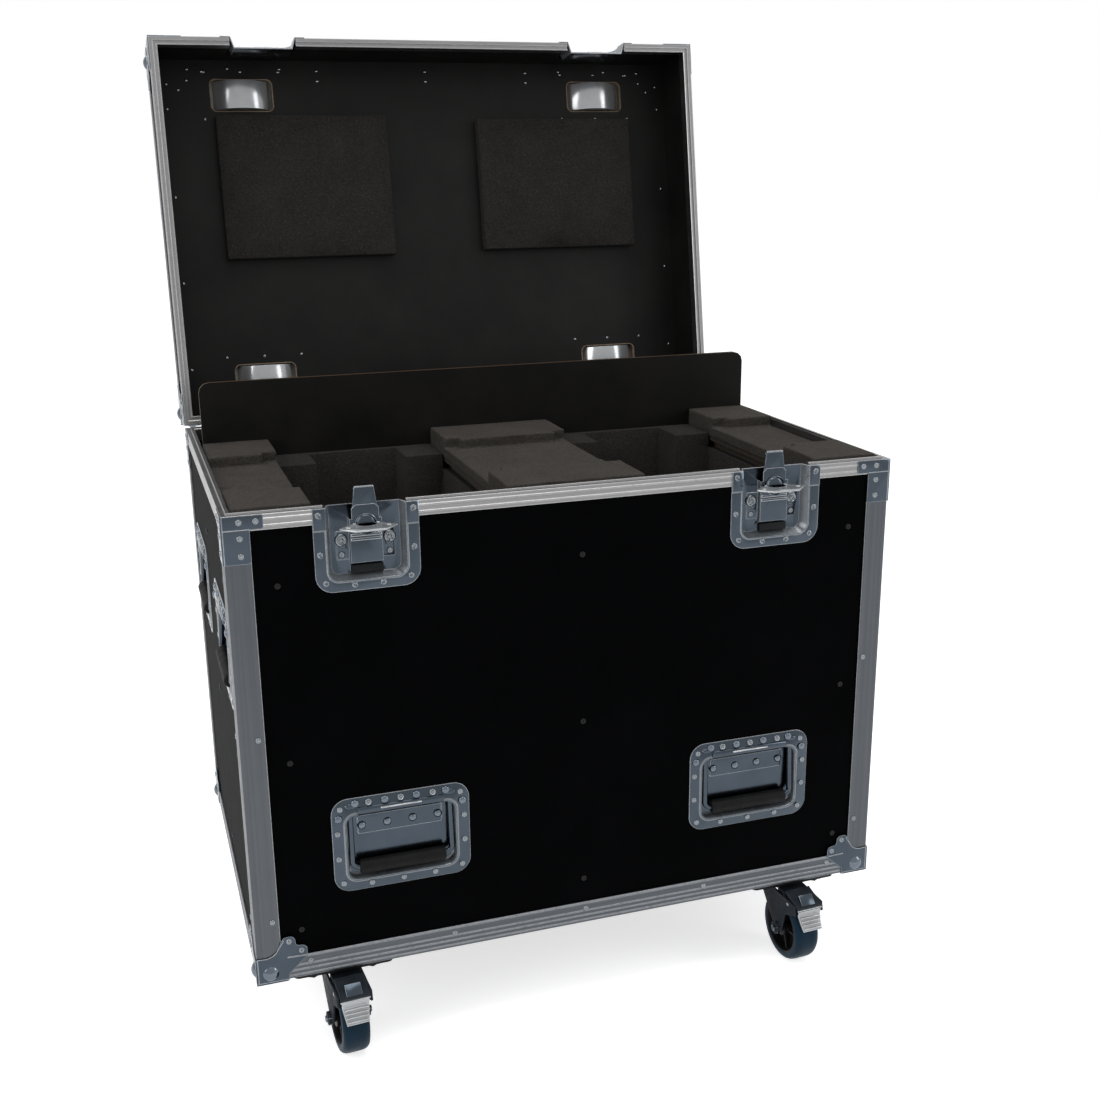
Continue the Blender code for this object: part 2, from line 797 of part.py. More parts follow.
def edge_frames(finishes, base, lid):
    """The extrusions of each half with the hardware that is riveted on its corners."""
    aluminium = finishes["aluminium"]
    overlap = RIM_LEG / 2
    rim = cut(frame_ring(base_rim_profile(), RIM_TOP), middle_cutter(RIM_TOP))
    pieces = [frame_ring(angle_profile(), BOTTOM)]
    post = corner_post(BOTTOM + EDGE_LEG - overlap, RIM_TOP - RIM_LEG + overlap)
    brace = corner_brace()
    for place in corner_places(0, False):
        pieces.append(placed(post, place))
    for place in corner_places(RIM_TOP, False):
        pieces.append(placed(brace, place))
    make_node("base_edge_frame", join(rim, *pieces), aluminium, base)

    upside_down = [(u, -height) for u, height in angle_profile()]
    rim = cut(frame_ring(lid_rim_profile(), LID_BOTTOM), middle_cutter(LID_BOTTOM))
    pieces = [frame_ring(upside_down, LID_TOP)]
    post = corner_post(LID_BOTTOM + RIM_LEG - overlap, LID_TOP - EDGE_LEG + overlap)
    for place in corner_places(0, False):
        pieces.append(placed(post, place))
    for place in corner_places(LID_BOTTOM, True):
        pieces.append(placed(brace, place))
    ball = ball_corner(-CUT_ROOM)
    balls = [placed(ball, place) for place in corner_places(LID_TOP, True)]
    make_node("lid_edge_frame", join(*balls, rim, *pieces), aluminium, lid, HINGE_CENTRE)

    half = LATCH_X - LATCH_MOUTH_HALF - SHEET - CUT_ROOM
    groups = [("base_rim_front", base_rim_profile(), RIM_TOP, base, BODY_CENTRE),
              ("lid_rim_front", lid_rim_profile(), LID_BOTTOM, lid, HINGE_CENTRE)]
    for name, profile, height, parent, centre in groups:
        length = placed(bar(profile, -half, half), Matrix.Translation((0, FRONT, height)))
        make_node(name, length, aluminium, parent, centre)


# Corner hardware, drawn at a corner whose three outer faces meet at the origin

def face_of_front():
    return Matrix(((1, 0, 0, 0), (0, 0, 1, 0), (0, 1, 0, 0), (0, 0, 0, 1)))


def face_of_side():
    return Matrix(((0, 0, 1, 0), (1, 0, 0, 0), (0, 1, 0, 0), (0, 0, 0, 1)))


def ball_plate_outline(edge):
    """One face of a ball corner in (across, up), with two rivet ears."""
    high = HIGH_EAR_UP + EAR_RADIUS
    points = [(edge, edge), (BALL_REACH, edge), (BALL_REACH, BALL_NECK),
              (LOW_EAR_ACROSS + EAR_RADIUS, LOW_EAR_UP - EAR_RADIUS),
              (LOW_EAR_ACROSS + EAR_RADIUS, LOW_EAR_UP + EAR_RADIUS),
              (HIGH_EAR_ACROSS + EAR_RADIUS, LOW_EAR_UP + EAR_RADIUS),
              (HIGH_EAR_ACROSS + EAR_RADIUS, high), (HIGH_EAR_ACROSS - EAR_RADIUS, high),
              (BALL_SWEEP_START + EAR_RADIUS, BALL_SIDE_TOP), (edge, BALL_SIDE_TOP)]
    ear = EAR_RADIUS * EAR_CORNER_SHARE
    return round_corners(points, [0, 0, ear, ear, ear, 0, ear, ear, ear, 0], 2)


def ball_corner(seat):
    """A pressed corner whose inside lies the seat's distance outside the edges."""
    outer = -seat - SHEET
    plate = prism(ball_plate_outline(outer), outer, SHEET)
    front = placed(plate, face_of_front())
    side = placed(plate, face_of_side())
    foot_side = BALL_SIDE_TOP * FOOT_CUT_SHARE
    foot_corners = [(outer, outer), (BALL_REACH, outer), (BALL_REACH, foot_side),
                    (foot_side, BALL_REACH), (outer, BALL_REACH)]
    foot = prism(foot_corners, outer, SHEET)
    ball = bmesh.new()
    centre = Matrix.Translation((BALL_CENTRE, BALL_CENTRE, BALL_CENTRE))
    bmesh.ops.create_icosphere(ball, subdivisions=2, radius=BALL_RADIUS, matrix=centre)
    far = HIGH_EAR_UP + LOW_EAR_ACROSS
    case = box((-seat, -seat, -seat), (far, far, far))
    return cut(join(front, side, foot, ball), case)


def corner_brace():
    """Arms along the rim and a leg down the post, on both faces of the corner."""
    low = -BRACE_LEG_HEIGHT
    step = -BRACE_ARM_HEIGHT
    outline = [(-SHEET, low), (BRACE_LEG, low), (BRACE_LEG, step), (BRACE_ARM, step),
               (BRACE_ARM, -SEAT_GAP), (-SHEET, -SEAT_GAP)]
    plate = prism(outline, -SHEET, EDGE_WALL / 2)
    return join(placed(plate, face_of_front()), placed(plate, face_of_side()))


def ball_corners(finishes, base):
    ball = ball_corner(SEAT_GAP)
    names = ["front_left", "back_left", "front_right", "back_right"]
    for name, place in zip(names, corner_places(BOTTOM, False)):
        make_node(name + "_ball_corner", placed(ball, place), finishes["zinc"], base)


# Rivets, drawn with w = 0 at the seat and pointing out

def studs(places, radius=RIVET_RADIUS, height=RIVET_HEIGHT):
    """Low round heads sunk a little into the sheet that they hold."""
    whole = bmesh.new()
    for u, v, w in places:
        head = turned([(radius, -SEAT_GAP), (radius * RIVET_TOP_SHARE, height)], RIVET_SIDES)
        mesh = bpy.data.meshes.new("head")
        placed(head, Matrix.Translation((u, v, w))).to_mesh(mesh)
        whole.from_mesh(mesh)
        bpy.data.meshes.remove(mesh)
    return whole


# Handles

def handle_places():
    """Name and place of each of the six handles."""
    places = []
    for side, x in (("left", -FRONT_HANDLE_X), ("right", FRONT_HANDLE_X)):
        places.append(("front_" + side, front_place(x, FRONT_HANDLE_UP)))
    for side, sign in (("left", -1), ("right", 1)):
        for end, y in (("front", FRONT + NEAR_SIDE_HANDLE_IN),
                       ("back", BACK - FAR_SIDE_HANDLE_IN)):
            centre = (sign * RIGHT, y, BOTTOM + SIDE_HANDLE_UP)
            places.append((side + "_" + end, wall_place(centre, (sign, 0, 0))))
    return places


def handle_mouth():
    half = HANDLE_MOUTH_HALF
    points = [(-half, -HANDLE_MOUTH_LOW), (half, -HANDLE_MOUTH_LOW), (half, HANDLE_SLOT_HIGH),
              (HANDLE_SLOT_INNER, HANDLE_SLOT_HIGH), (HANDLE_SLOT_INNER, HANDLE_MOUTH_HIGH),
              (-HANDLE_SLOT_INNER, HANDLE_MOUTH_HIGH), (-HANDLE_SLOT_INNER, HANDLE_SLOT_HIGH),
              (-half, HANDLE_SLOT_HIGH)]
    radii = [HANDLE_MOUTH_CORNER, HANDLE_MOUTH_CORNER, 0, 0, 0, 0, 0, 0]
    return round_corners(points, radii)


def handle_rivet_places():
    """The main rivets on a handle's flange, from shares of its half width and half height."""
    front = SHEET - EDGE_WALL
    half = HANDLE_WIDTH / 2
    tall = HANDLE_HEIGHT / 2
    spots = []
    for up_share in (HANDLE_HIGH_RIVET_SHARE, -HANDLE_LOW_RIVET_SHARE):
        for side in (-1, 1):
            across = side * HANDLE_RIVET_ACROSS_SHARE * half
            spots.append((across, up_share * tall, front))
    return spots


def handle_dish():
    """Dish whose flange lies on the panel, with holes for the bail's ends."""
    half = HANDLE_WIDTH / 2
    tall = HANDLE_HEIGHT / 2
    flange = rectangle(-half, half, -tall, tall, HANDLE_CORNER)
    mouth = handle_mouth()
    front = SHEET - EDGE_WALL
    shape = dish(flange, mouth, inset(mouth, HANDLE_TAPER), HANDLE_DEPTH + front, SHEET)
    shape = placed(shape, Matrix.Translation((0, 0, front)))
    shape = join(shape, spring_plate(), studs(handle_rivet_places()))
    bore = BAIL_ROD + CUT_ROOM
    hole = turned([(bore, -BAIL_HALF + BAIL_ROD), (bore, BAIL_HALF - BAIL_ROD)], KNUCKLE_SIDES)
    place = Matrix.Translation((0, BAIL_PIVOT_UP, -BAIL_PIVOT_IN))
    return cut(shape, placed(turned_about_x(hole), place))


def spring_plate():
    """Plate on the dish's floor over the bail's spring."""
    outline = rectangle(-SPRING_PLATE_HALF, SPRING_PLATE_HALF, SPRING_PLATE_LOW,
                        HANDLE_MOUTH_HIGH - 2 * HANDLE_TAPER - SHEET, SPRING_PLATE_CORNER)
    return prism(outline, -HANDLE_DEPTH - SHEET / 2, -HANDLE_DEPTH + SHEET)


def bail_path():
    """The bail's centre line from its left end to its right end, about its pivot."""
    corners = [(-BAIL_STUB_END, 0), (-BAIL_HALF, 0), (-BAIL_HALF, -GRIP_DROP),
               (BAIL_HALF, -GRIP_DROP), (BAIL_HALF, 0), (BAIL_STUB_END, 0)]
    pivot_bend = BAIL_ROD * BAIL_PIVOT_BEND_SHARE
    outline = round_corners(corners, [0, pivot_bend, BAIL_BEND, BAIL_BEND, pivot_bend, 0], 2)
    lean = GRIP_OUT / GRIP_DROP
    return [(point.x, point.y, -point.y * lean) for point in outline]


def bail_shape():
    """Bent rod with the rubber grip moulded round it."""
    half = GRIP_LENGTH / 2
    end = GRIP_RADIUS - GRIP_CHAMFER
    profile = [(end, -half), (GRIP_RADIUS, -half + GRIP_CHAMFER),
               (GRIP_RADIUS, half - GRIP_CHAMFER), (end, half)]
    grip = turned_about_x(turned(profile, KNUCKLE_SIDES))
    grip = placed(grip, Matrix.Translation((0, -GRIP_DROP, GRIP_OUT)))
    return join(rod(bail_path(), BAIL_ROD), grip)


def handles(finishes, base):
    dish_shape = handle_dish()
    pivot = Matrix.Translation((0, BAIL_PIVOT_UP, -BAIL_PIVOT_IN))
    for name, place in handle_places():
        make_node(name + "_handle_dish", placed(dish_shape, place), finishes["zinc"], base)
        axis = make_empty(name + "_bail_axis", place @ pivot, base)
        make_node(name + "_handle_bail", bail_shape(), finishes["rubber"], axis)


# Latches, drawn with w = 0 at the case's front face and v = 0 at the closing edge

def latch_place(side):
    return wall_place((side * LATCH_X, FRONT, RIM_TOP), (0, -1, 0))


def latch_dish(low, mouth_low, depth, additions):
    """Dish that runs up to the closing edge and steps out over the rim."""
    half = LATCH_HALF
    high = OVERRUN
    front = SHEET - EDGE_WALL
    flange = round_corners([(-half, low), (half, low), (half, high), (-half, high)],
                           [LATCH_CORNER, LATCH_CORNER, 0, 0])
    mouth_half = LATCH_MOUTH_HALF
    mouth_high = OVERRUN / 2
    mouth = round_corners([(-mouth_half, mouth_low), (mouth_half, mouth_low),
                           (mouth_half, mouth_high), (-mouth_half, mouth_high)],
                          [LATCH_MOUTH_CORNER, LATCH_MOUTH_CORNER, 0, 0])
    shape = dish(flange, mouth, inset(mouth, LATCH_TAPER), depth + front, SHEET)
    shape = placed(shape, Matrix.Translation((0, 0, front)))
    top = box((-half - OVERRUN, 0, -depth - OVERRUN), (half + OVERRUN, high + OVERRUN, OVERRUN))
    shape = cut(shape, top)
    for level in (-LATCH_JOGGLE_LOW, -LATCH_JOGGLE_LOW + LATCH_JOGGLE_RUN):
        bmesh.ops.bisect_plane(shape, geom=shape.verts[:] + shape.edges[:] + shape.faces[:],
                               plane_co=(0, level, 0), plane_no=(0, 1, 0), dist=SEAT_GAP * 0.01)
    middle = -LATCH_JOGGLE_LOW + LATCH_JOGGLE_RUN / 2
    for vert in shape.verts:
        if vert.co.y > middle and vert.co.z > -depth / 2:
            vert.co.z += SKIN
    return join(closed(shape), *additions)


def keeper():
    """Shelf on the lid's dish that the hook's lip pulls on, drawn with v down the lid."""
    return box((-KEEPER_HALF, KEEPER_UP - KEEPER_SHEET - LID_GAP, -LID_LATCH_DEPTH - SHEET / 2),
               (KEEPER_HALF, KEEPER_UP - LID_GAP, -KEEPER_FRONT))


def latch_housing():
    """Channel over the hook, standing on two feet, with a hole for the spindle."""
    shoulder = -HOUSING_SHOULDER
    right_side = [(HOUSING_HALF, -HOUSING_LOW), (HOUSING_HALF, shoulder),
                  (HOUSING_CAP_HALF, shoulder), (HOUSING_CAP_HALF, -HOUSING_CAP_CHAMFER),
                  (HOUSING_CAP_TOP_HALF, -SEAT_GAP)]
    hole = circle(0, -SPINDLE_DROP, SPINDLE_RADIUS + SPINDLE_ROOM, BOSS_SIDES)
    face = prism(mirrored_outline(right_side), -HOUSING_FRONT - SHEET, -HOUSING_FRONT, [hole])
    back = -LATCH_DEPTH - SHEET / 2
    walls = []
    for side in (-1, 1):
        near = side * (HOUSING_HALF - SHEET)
        far = side * HOUSING_HALF
        walls.append(box((min(near, far), -HOUSING_LOW, back),
                         (max(near, far), shoulder, -HOUSING_FRONT - SHEET / 2)))
        end = side * FOOT_HALF
        foot = rectangle(min(near, end), max(near, end), -FOOT_LOW, -FOOT_HIGH)
        walls.append(prism(foot, back, -LATCH_DEPTH + SHEET))
    return join(face, *walls)


def latch_stop():
    """Rubber block under the housing."""
    back = -LATCH_DEPTH - SHEET / 2
    return box((-STOP_HALF, -STOP_LOW, back), (STOP_HALF, -STOP_LOW + STOP_HEIGHT, -STOP_FRONT))


def base_latch_rivets():
    """Rivets on the flange and screws on the housing's feet."""
    front = SHEET - EDGE_WALL
    ear_mid = (LATCH_HALF + LATCH_MOUTH_HALF) / 2
    low_row = -(LATCH_LOW + LATCH_MOUTH_LOW) / 2
    corner_step = LATCH_CORNER * LATCH_CORNER_RIVET_SHARE
    spots = [(ear_mid, -RIM_LEG / 2, front + SKIN),
             (ear_mid, low_row * LATCH_EAR_RIVET_SHARE, front),
             (ear_mid - corner_step, low_row + corner_step, front),
             (LATCH_MOUTH_HALF * LATCH_LOW_RIVET_SHARE, low_row, front)]
    return studs([(side * u, v, w) for u, v, w in spots for side in (-1, 1)])


def foot_screws():
    foot_x = (HOUSING_HALF + FOOT_HALF) / 2
    foot_v = -(FOOT_LOW + FOOT_HIGH) / 2
    places = [(side * foot_x, foot_v, -LATCH_DEPTH + SHEET) for side in (-1, 1)]
    return studs(places, BIG_RIVET_RADIUS, BIG_RIVET_HEIGHT)


def spindle_shape():
    """Shaft with a domed boss and the wing's cross pin, about the shaft's axis."""
    deep = -LATCH_DEPTH + SEAT_GAP
    boss_back = -HOUSING_FRONT + SEAT_GAP
    rim = boss_back + BOSS_RIM
    profile = [(SPINDLE_RADIUS, deep), (SPINDLE_RADIUS, boss_back), (BOSS_RADIUS, boss_back),
               (BOSS_RADIUS, rim)]
    dome_steps = 3
    for step in range(1, dome_steps):
        angle = math.pi / 2 * step / dome_steps
        profile.append((BOSS_RADIUS * math.cos(angle), rim + BOSS_DOME * math.sin(angle)))
    profile.append((0, rim + BOSS_DOME))
    pin = turned([(WING_PIN, -WING_PIN_HALF), (WING_PIN, WING_PIN_HALF)], KNUCKLE_SIDES)
    pin = placed(turned_about_x(pin), Matrix.Translation((0, 0, -WING_PIVOT_IN)))
    return join(turned(profile, BOSS_SIDES), pin)


def wing_shape():
    """Folding wing that stands straight out from its cross pin, drawn about that pin."""
    inner = BOSS_RADIUS + CUT_ROOM
    right_side = [(WING_ROOT_HALF, 0), (WING_HALF - SHEET, WING_TIP_OUT - WING_KNUCKLE),
                  (WING_HALF, WING_TIP_OUT), (WING_HALF - SHEET, WING_TIP_OUT + WING_KNUCKLE),
                  (WING_FRONT_HALF, WING_FRONT_OUT)]
    arc = []
    steps = BOSS_SIDES // 2
    for step in range(steps + 1):
        angle = math.pi - math.pi * step / steps
        arc.append((inner * math.cos(angle), inner * math.sin(angle)))
    outline = mirrored_outline(right_side) + arc
    holes = [prism(circle(side * WING_HOLE_X, WING_HOLE_OUT, WING_HOLE, RIVET_SIDES + 2),
                   -WING_SHEET, WING_SHEET) for side in (-1, 1)]
    plate = cut(prism(outline, -WING_SHEET / 2, WING_SHEET / 2), *holes)
    plate = placed(plate, face_of_front())
    length = WING_PIN_HALF - inner
    knuckles = []
    for side in (-1, 1):
        middle = side * (inner + length / 2)
        barrel = turned([(WING_KNUCKLE, -length / 2), (WING_KNUCKLE, length / 2)], KNUCKLE_SIDES)
        knuckles.append(placed(turned_about_x(barrel), Matrix.Translation((middle, 0, 0))))
    bore = WING_PIN + WING_PIN_ROOM
    reach = WING_PIN_HALF + SEAT_GAP
    bore_shape = turned([(bore, -reach), (bore, reach)], KNUCKLE_SIDES)
    return cut(join(plate, *knuckles), turned_about_x(bore_shape))


def hook_shape():
    """Hook plate with a slot for the spindle and a lip that bends into the case."""
    neck = -HOUSING_CAP_CHAMFER
    right_side = [(HOOK_SHOULDER_HALF, -HOOK_LOW), (HOOK_SHOULDER_HALF, neck),
                  (HOOK_TOP_HALF, HOOK_HIGH)]
    slot_half = SPINDLE_RADIUS + SPINDLE_ROOM
    slot_low = -SPINDLE_DROP - slot_half
    slot_high = -SPINDLE_DROP + HOOK_TRAVEL_DOWN + slot_half
    slot = rectangle(-slot_half, slot_half, slot_low, slot_high)
    back = -HOOK_FRONT - HOOK_SHEET
    plate = prism(mirrored_outline(right_side), back, -HOOK_FRONT, [slot])
    lip = box((-HOOK_TOP_HALF, HOOK_HIGH - HOOK_SHEET, back - HOOK_LIP),
              (HOOK_TOP_HALF, HOOK_HIGH, -HOOK_FRONT - HOOK_SHEET / 2))
    return join(plate, lip)


def latches(finishes, base, lid):
    zinc = finishes["zinc"]
    fittings = [latch_housing(), latch_stop(), base_latch_rivets(), foot_screws()]
    base_dish = latch_dish(-LATCH_LOW, -LATCH_MOUTH_LOW, LATCH_DEPTH, fittings)
    upside_down = Matrix.Diagonal((1, -1, 1, 1))
    hanging_keeper = placed(keeper(), upside_down)
    lid_dish = latch_dish(-LID_LATCH_HIGH, -LID_LATCH_MOUTH, LID_LATCH_DEPTH, [hanging_keeper])
    lid_lift = Matrix.Translation((0, LID_GAP, 0))
    for name, side in (("left", -1), ("right", 1)):
        place = latch_place(side)
        make_node(name + "_latch_dish", placed(base_dish, place), zinc, base)
        lid_shape = placed(lid_dish, place @ lid_lift @ upside_down)
        make_node(name + "_keeper_dish", lid_shape, zinc, lid, HINGE_CENTRE)
        spindle_place = place @ Matrix.Translation((0, -SPINDLE_DROP, 0))
        turn_axis = make_empty(name + "_latch_axis", spindle_place, base)
        make_node(name + "_latch_spindle", spindle_shape(), zinc, turn_axis)
        pivot = Matrix.Translation((0, 0, -WING_PIVOT_IN))
        fold_axis = make_empty(name + "_wing_axis", pivot, turn_axis)
        make_node(name + "_latch_wing", wing_shape(), zinc, fold_axis)
        slide_axis = make_empty(name + "_hook_slide", place, base)
        make_node(name + "_latch_hook", hook_shape(), zinc, slide_axis)


# Castor dishes in the lid

def castor_cup():
    """Plate on the lid's top with a trough that a castor wheel drops into."""
    sagitta = CUP_RADIUS - CUP_DEPTH
    mouth_half = math.sqrt(CUP_RADIUS ** 2 - sagitta ** 2)
    span = math.asin(mouth_half / CUP_RADIUS)
    half_y = CUP_WIDTH / 2
    half_plate_x = CUP_PLATE_X / 2
    half_plate_y = CUP_PLATE_Y / 2
    plate = prism(rectangle(-half_plate_x, half_plate_x, -half_plate_y, half_plate_y,
                            CUP_PLATE_CORNER, 2), 0, SHEET)

    def trough(radius, width, lift):
        outline = []
        for step in range(CUP_STEPS + 1):
            angle = -span + 2 * span * step / CUP_STEPS
            outline.append((radius * math.sin(angle), sagitta - radius * math.cos(angle)))
        outline += [(outline[-1][0], lift), (outline[0][0], lift)]
        return placed(prism(outline, -width, width), face_of_front())

    outer = trough(CUP_RADIUS + SHEET, half_y + SHEET, SHEET / 2)
    inner = trough(CUP_RADIUS, half_y, OVERRUN)
    rows = (-CUP_RIVET_ROW, CUP_RIVET_ROW)
    spots = [(across, row, SHEET) for row in rows
             for across in (-CUP_RIVET_PITCH, 0, CUP_RIVET_PITCH)]
    return cut(join(plate, outer, studs(spots)), inner)


def castor_cups(finishes, lid):
    cup = castor_cup()
    names = ["front_left", "back_left", "front_right", "back_right"]
    for name, centre in zip(names, cup_centres()):
        place = Matrix.Translation((*centre, LID_TOP + SEAT_GAP))
        make_node(name + "_castor_dish", placed(cup, place), finishes["zinc"], lid, HINGE_CENTRE)


# Hinge, drawn about the pin with v up and w out of the back

def hinge_knuckles(for_lid):
    """The spans along the pin of the knuckles that one leaf carries."""
    length = HINGE_LENGTH / HINGE_KNUCKLES
    spans = []
    for index in range(1 if for_lid else 0, HINGE_KNUCKLES, 2):
        start = -HINGE_LENGTH / 2 + index * length
        gap = HINGE_ROOM if for_lid else 0
        spans.append((start + gap, start + length - gap))
    return spans


def hinge_leaf(for_lid):
    """Leaf plate whose edge runs into its own knuckles and stops short of the other's."""
    sign = 1 if for_lid else -1
    near = sign * (KNUCKLE_RADIUS + HINGE_ROOM)
    far = sign * HINGE_HEIGHT
    half = HINGE_LENGTH / 2
    back = -KNUCKLE_RADIUS
    front = back + HINGE_LEAF
    plate = box((-half, min(near, far), back), (half, max(near, far), front))
    pieces = []
    for start, end in hinge_knuckles(for_lid):
        reach = sign * HINGE_HEIGHT / 2
        pieces.append(box((start + HINGE_LEAF, min(0, reach), back),
                          (end - HINGE_LEAF, max(0, reach), front)))
        pieces.append(tube(start, end) if for_lid else barrel(start, end, KNUCKLE_RADIUS))
    return join(plate, *pieces)


def barrel(start, end, radius):
    return turned_about_x(turned([(radius, start), (radius, end)], KNUCKLE_SIDES))


def tube(start, end):
    bore = HINGE_PIN + HINGE_ROOM
    profile = [(bore, start), (KNUCKLE_RADIUS, start), (KNUCKLE_RADIUS, end), (bore, end)]
    return turned_about_x(ring_solid(profile, KNUCKLE_SIDES))


def hinge(finishes, base, lid):
    """One long hinge whose pin is held in the base leaf's knuckles."""
    place = wall_place((0, HINGE_Y, HINGE_Z), (0, 1, 0))
    half = HINGE_LENGTH / 2
    pin = barrel(-half + HINGE_LEAF, half - HINGE_LEAF, HINGE_PIN)
    base_leaf = join(hinge_leaf(False), pin)
    lid_leaf = hinge_leaf(True)
    make_node("hinge_base_leaf", placed(base_leaf, place), finishes["zinc"], base)
    make_node("hinge_lid_leaf", placed(lid_leaf, place), finishes["zinc"], lid, HINGE_CENTRE)


# Divider board, ply insert and foam

def divider_board(finishes, base):
    half = INNER_X - BOARD_SIDE_ROOM
    low = PANEL + SEAT_GAP
    high = BOTTOM + BOARD_TOP
    outline = round_corners([(-half, 0), (half, 0), (half, high - low), (-half, high - low)],
                            [0, 0, BOARD_CORNER, BOARD_CORNER])
    place = wall_place((0, FRONT + BOARD_FRONT, low), (0, -1, 0))
    axis = make_empty("divider_board_slide", place, base)
    make_node("divider_board", prism(outline, -BOARD_THICKNESS, 0), finishes["laminate"], axis)


def board_stop(finishes, base):
    """Batten across the floor behind the board, with an upright at each end."""
    low = PANEL + SEAT_GAP
    near = FRONT + BOARD_FRONT + BOARD_THICKNESS + SEAT_GAP
    outer = INNER_X - SEAT_GAP
    batten = box((-outer, near, low), (outer, near + STOP_BATTEN, low + STOP_BATTEN))
    high = BOTTOM + STOP_TOP
    uprights = []
    for sign in (-1, 1):
        ends = (sign * outer, sign * (outer - STOP_BATTEN))
        uprights.append(box((min(ends), near, low), (max(ends), near + STOP_BATTEN, high)))
    make_node("divider_stop", join(batten, *uprights), finishes["ply"], base)


def well_sides():
    """Outer and inner side of a well, as distances from the middle of the case."""
    return RIGHT - SIDE_BLOCK, MIDDLE_BLOCK / 2


def foam_block(left, right, sides):
    """A block whose top is cut down between a front and a back raised piece."""
    front = FRONT + RIM_THICKNESS + FOAM_GAP
    back = FRONT + BOARD_FRONT - FOAM_GAP
    top = BOTTOM + SLAB_TOP
    high = top + RAISED_THICKNESS
    block = box((left, front, top - SLAB_THICKNESS), (right, back, high))
    front_end = FRONT + FRONT_RAISED
    rear_start = FRONT + REAR_RAISED
    cutters = [box((left - OVERRUN, front_end, top), (right + OVERRUN, rear_start, high + OVERRUN))]
    for side in sides:
        edge = right if side > 0 else left
        ends = sorted((edge - side * NOTCH_ACROSS, edge + side * OVERRUN))
        for near, far in ((front_end - NOTCH_ALONG, front_end + OVERRUN),
                          (rear_start - OVERRUN, rear_start + NOTCH_ALONG)):
            cutters.append(box((ends[0], near, top), (ends[1], far, high + OVERRUN)))
    return cut(block, *cutters)


def foam_blocks(finishes, base):
    outer, inner = well_sides()
    edge = RIGHT - RIM_THICKNESS - FOAM_GAP
    spans = [("foam_block_left", -edge, -outer, (1,)), ("foam_block_right", outer, edge, (-1,)),
             ("foam_block_centre", -inner, inner, (-1, 1))]
    for name, left, right, sides in spans:
        make_node(name, foam_block(left, right, sides), finishes["foam"], base)


def ply_insert(finishes, base):
    """Ply sheet on the floor with uprights that carry a shelf under each foam block."""
    outer, inner = well_sides()
    high = BOTTOM + SLAB_TOP - SLAB_THICKNESS - SEAT_GAP
    low = high - PLY_SHEET
    front = -INNER_Y + SEAT_GAP
    back = FRONT + BOARD_FRONT - SEAT_GAP
    wall = INNER_X - SEAT_GAP
    floor = PANEL + SEAT_GAP
    sheet = box((-wall, front, floor), (wall, back, floor + PLY_SHEET))
    pieces = []
    side_edge = outer + SHELF_INSET
    middle_edge = inner - SHELF_INSET
    for left, right in ((-wall, -side_edge), (-middle_edge, middle_edge), (side_edge, wall)):
        pieces.append(box((left, front, low), (right, back, high)))
    upright_front = FRONT + LINING_FRONT + LINING + SEAT_GAP
    upright_low = floor + PLY_SHEET / 2
    for near in (outer + UPRIGHT_INSET, inner - UPRIGHT_INSET - PANEL):
        for sign in (-1, 1):
            ends = (sign * near, sign * (near + PANEL))
            pieces.append(box((min(ends), upright_front, upright_low),
                              (max(ends), back - FOAM_GAP, low + PLY_SHEET / 2)))
    make_node("ply_insert", join(sheet, *pieces), finishes["ply"], base)


def well_lining(finishes, base):
    """Foam on the walls, floor and corners of both wells, joined along the front wall."""
    outer, inner = well_sides()
    floor = PANEL + SEAT_GAP + PLY_SHEET + SEAT_GAP
    pad_top = floor + FLOOR_PAD
    top = BOTTOM + LINING_TOP
    side_top = BOTTOM + SIDE_LINING_TOP
    front = FRONT + LINING_FRONT
    back = FRONT + BOARD_FRONT - FOAM_GAP
    far_side = outer + UPRIGHT_INSET - SEAT_GAP
    near_side = inner - UPRIGHT_INSET + SEAT_GAP
    shape = box((-far_side, front, floor), (far_side, front + LINING, side_top))
    wells = []
    voids = []
    for sign in (-1, 1):
        across = sorted((sign * near_side, sign * far_side))
        wells.append(box((across[0], front, floor), (across[1], back, top)))
        left, right = sorted((sign * inner, sign * outer))
        low = front + LINING
        high = back - LINING
        plan = [(left + POST_ACROSS, low), (right - POST_ACROSS, low),
                (right - POST_ACROSS, low + POST_ALONG), (right, low + POST_ALONG),
                (right, high - POST_ALONG), (right - POST_ACROSS, high - POST_ALONG),
                (right - POST_ACROSS, high), (left + POST_ACROSS, high),
                (left + POST_ACROSS, high - POST_ALONG), (left, high - POST_ALONG),
                (left, low + POST_ALONG), (left + POST_ACROSS, low + POST_ALONG)]
        voids.append(prism(plan, pad_top, top + OVERRUN))
        for near, far in ((outer - SEAT_GAP, far_side + OVERRUN),
                          (near_side - OVERRUN, inner + SEAT_GAP)):
            ends = sorted((sign * near, sign * far))
            voids.append(box((ends[0], front - OVERRUN, side_top),
                             (ends[1], back + OVERRUN, top + OVERRUN)))
    make_node("well_lining", cut(join(shape, *wells), *voids), finishes["foam"], base)


def lid_foam_pads(finishes, lid):
    high = LID_CEILING - SEAT_GAP
    for name, side, inwards, deep in (("lid_foam_pad_left", -1, LEFT_PAD_IN, LEFT_PAD_DEEP),
                                      ("lid_foam_pad_right", 1, RIGHT_PAD_IN, RIGHT_PAD_DEEP)):
        ends = sorted(side * (RIGHT - distance) for distance in inwards)
        pad = box((ends[0], FRONT + deep[0], high - LID_PAD), (ends[1], FRONT + deep[1], high))
        make_node(name, pad, finishes["foam"], lid, HINGE_CENTRE)


# Castors, drawn about the swivel axis with +x the way the wheel trails

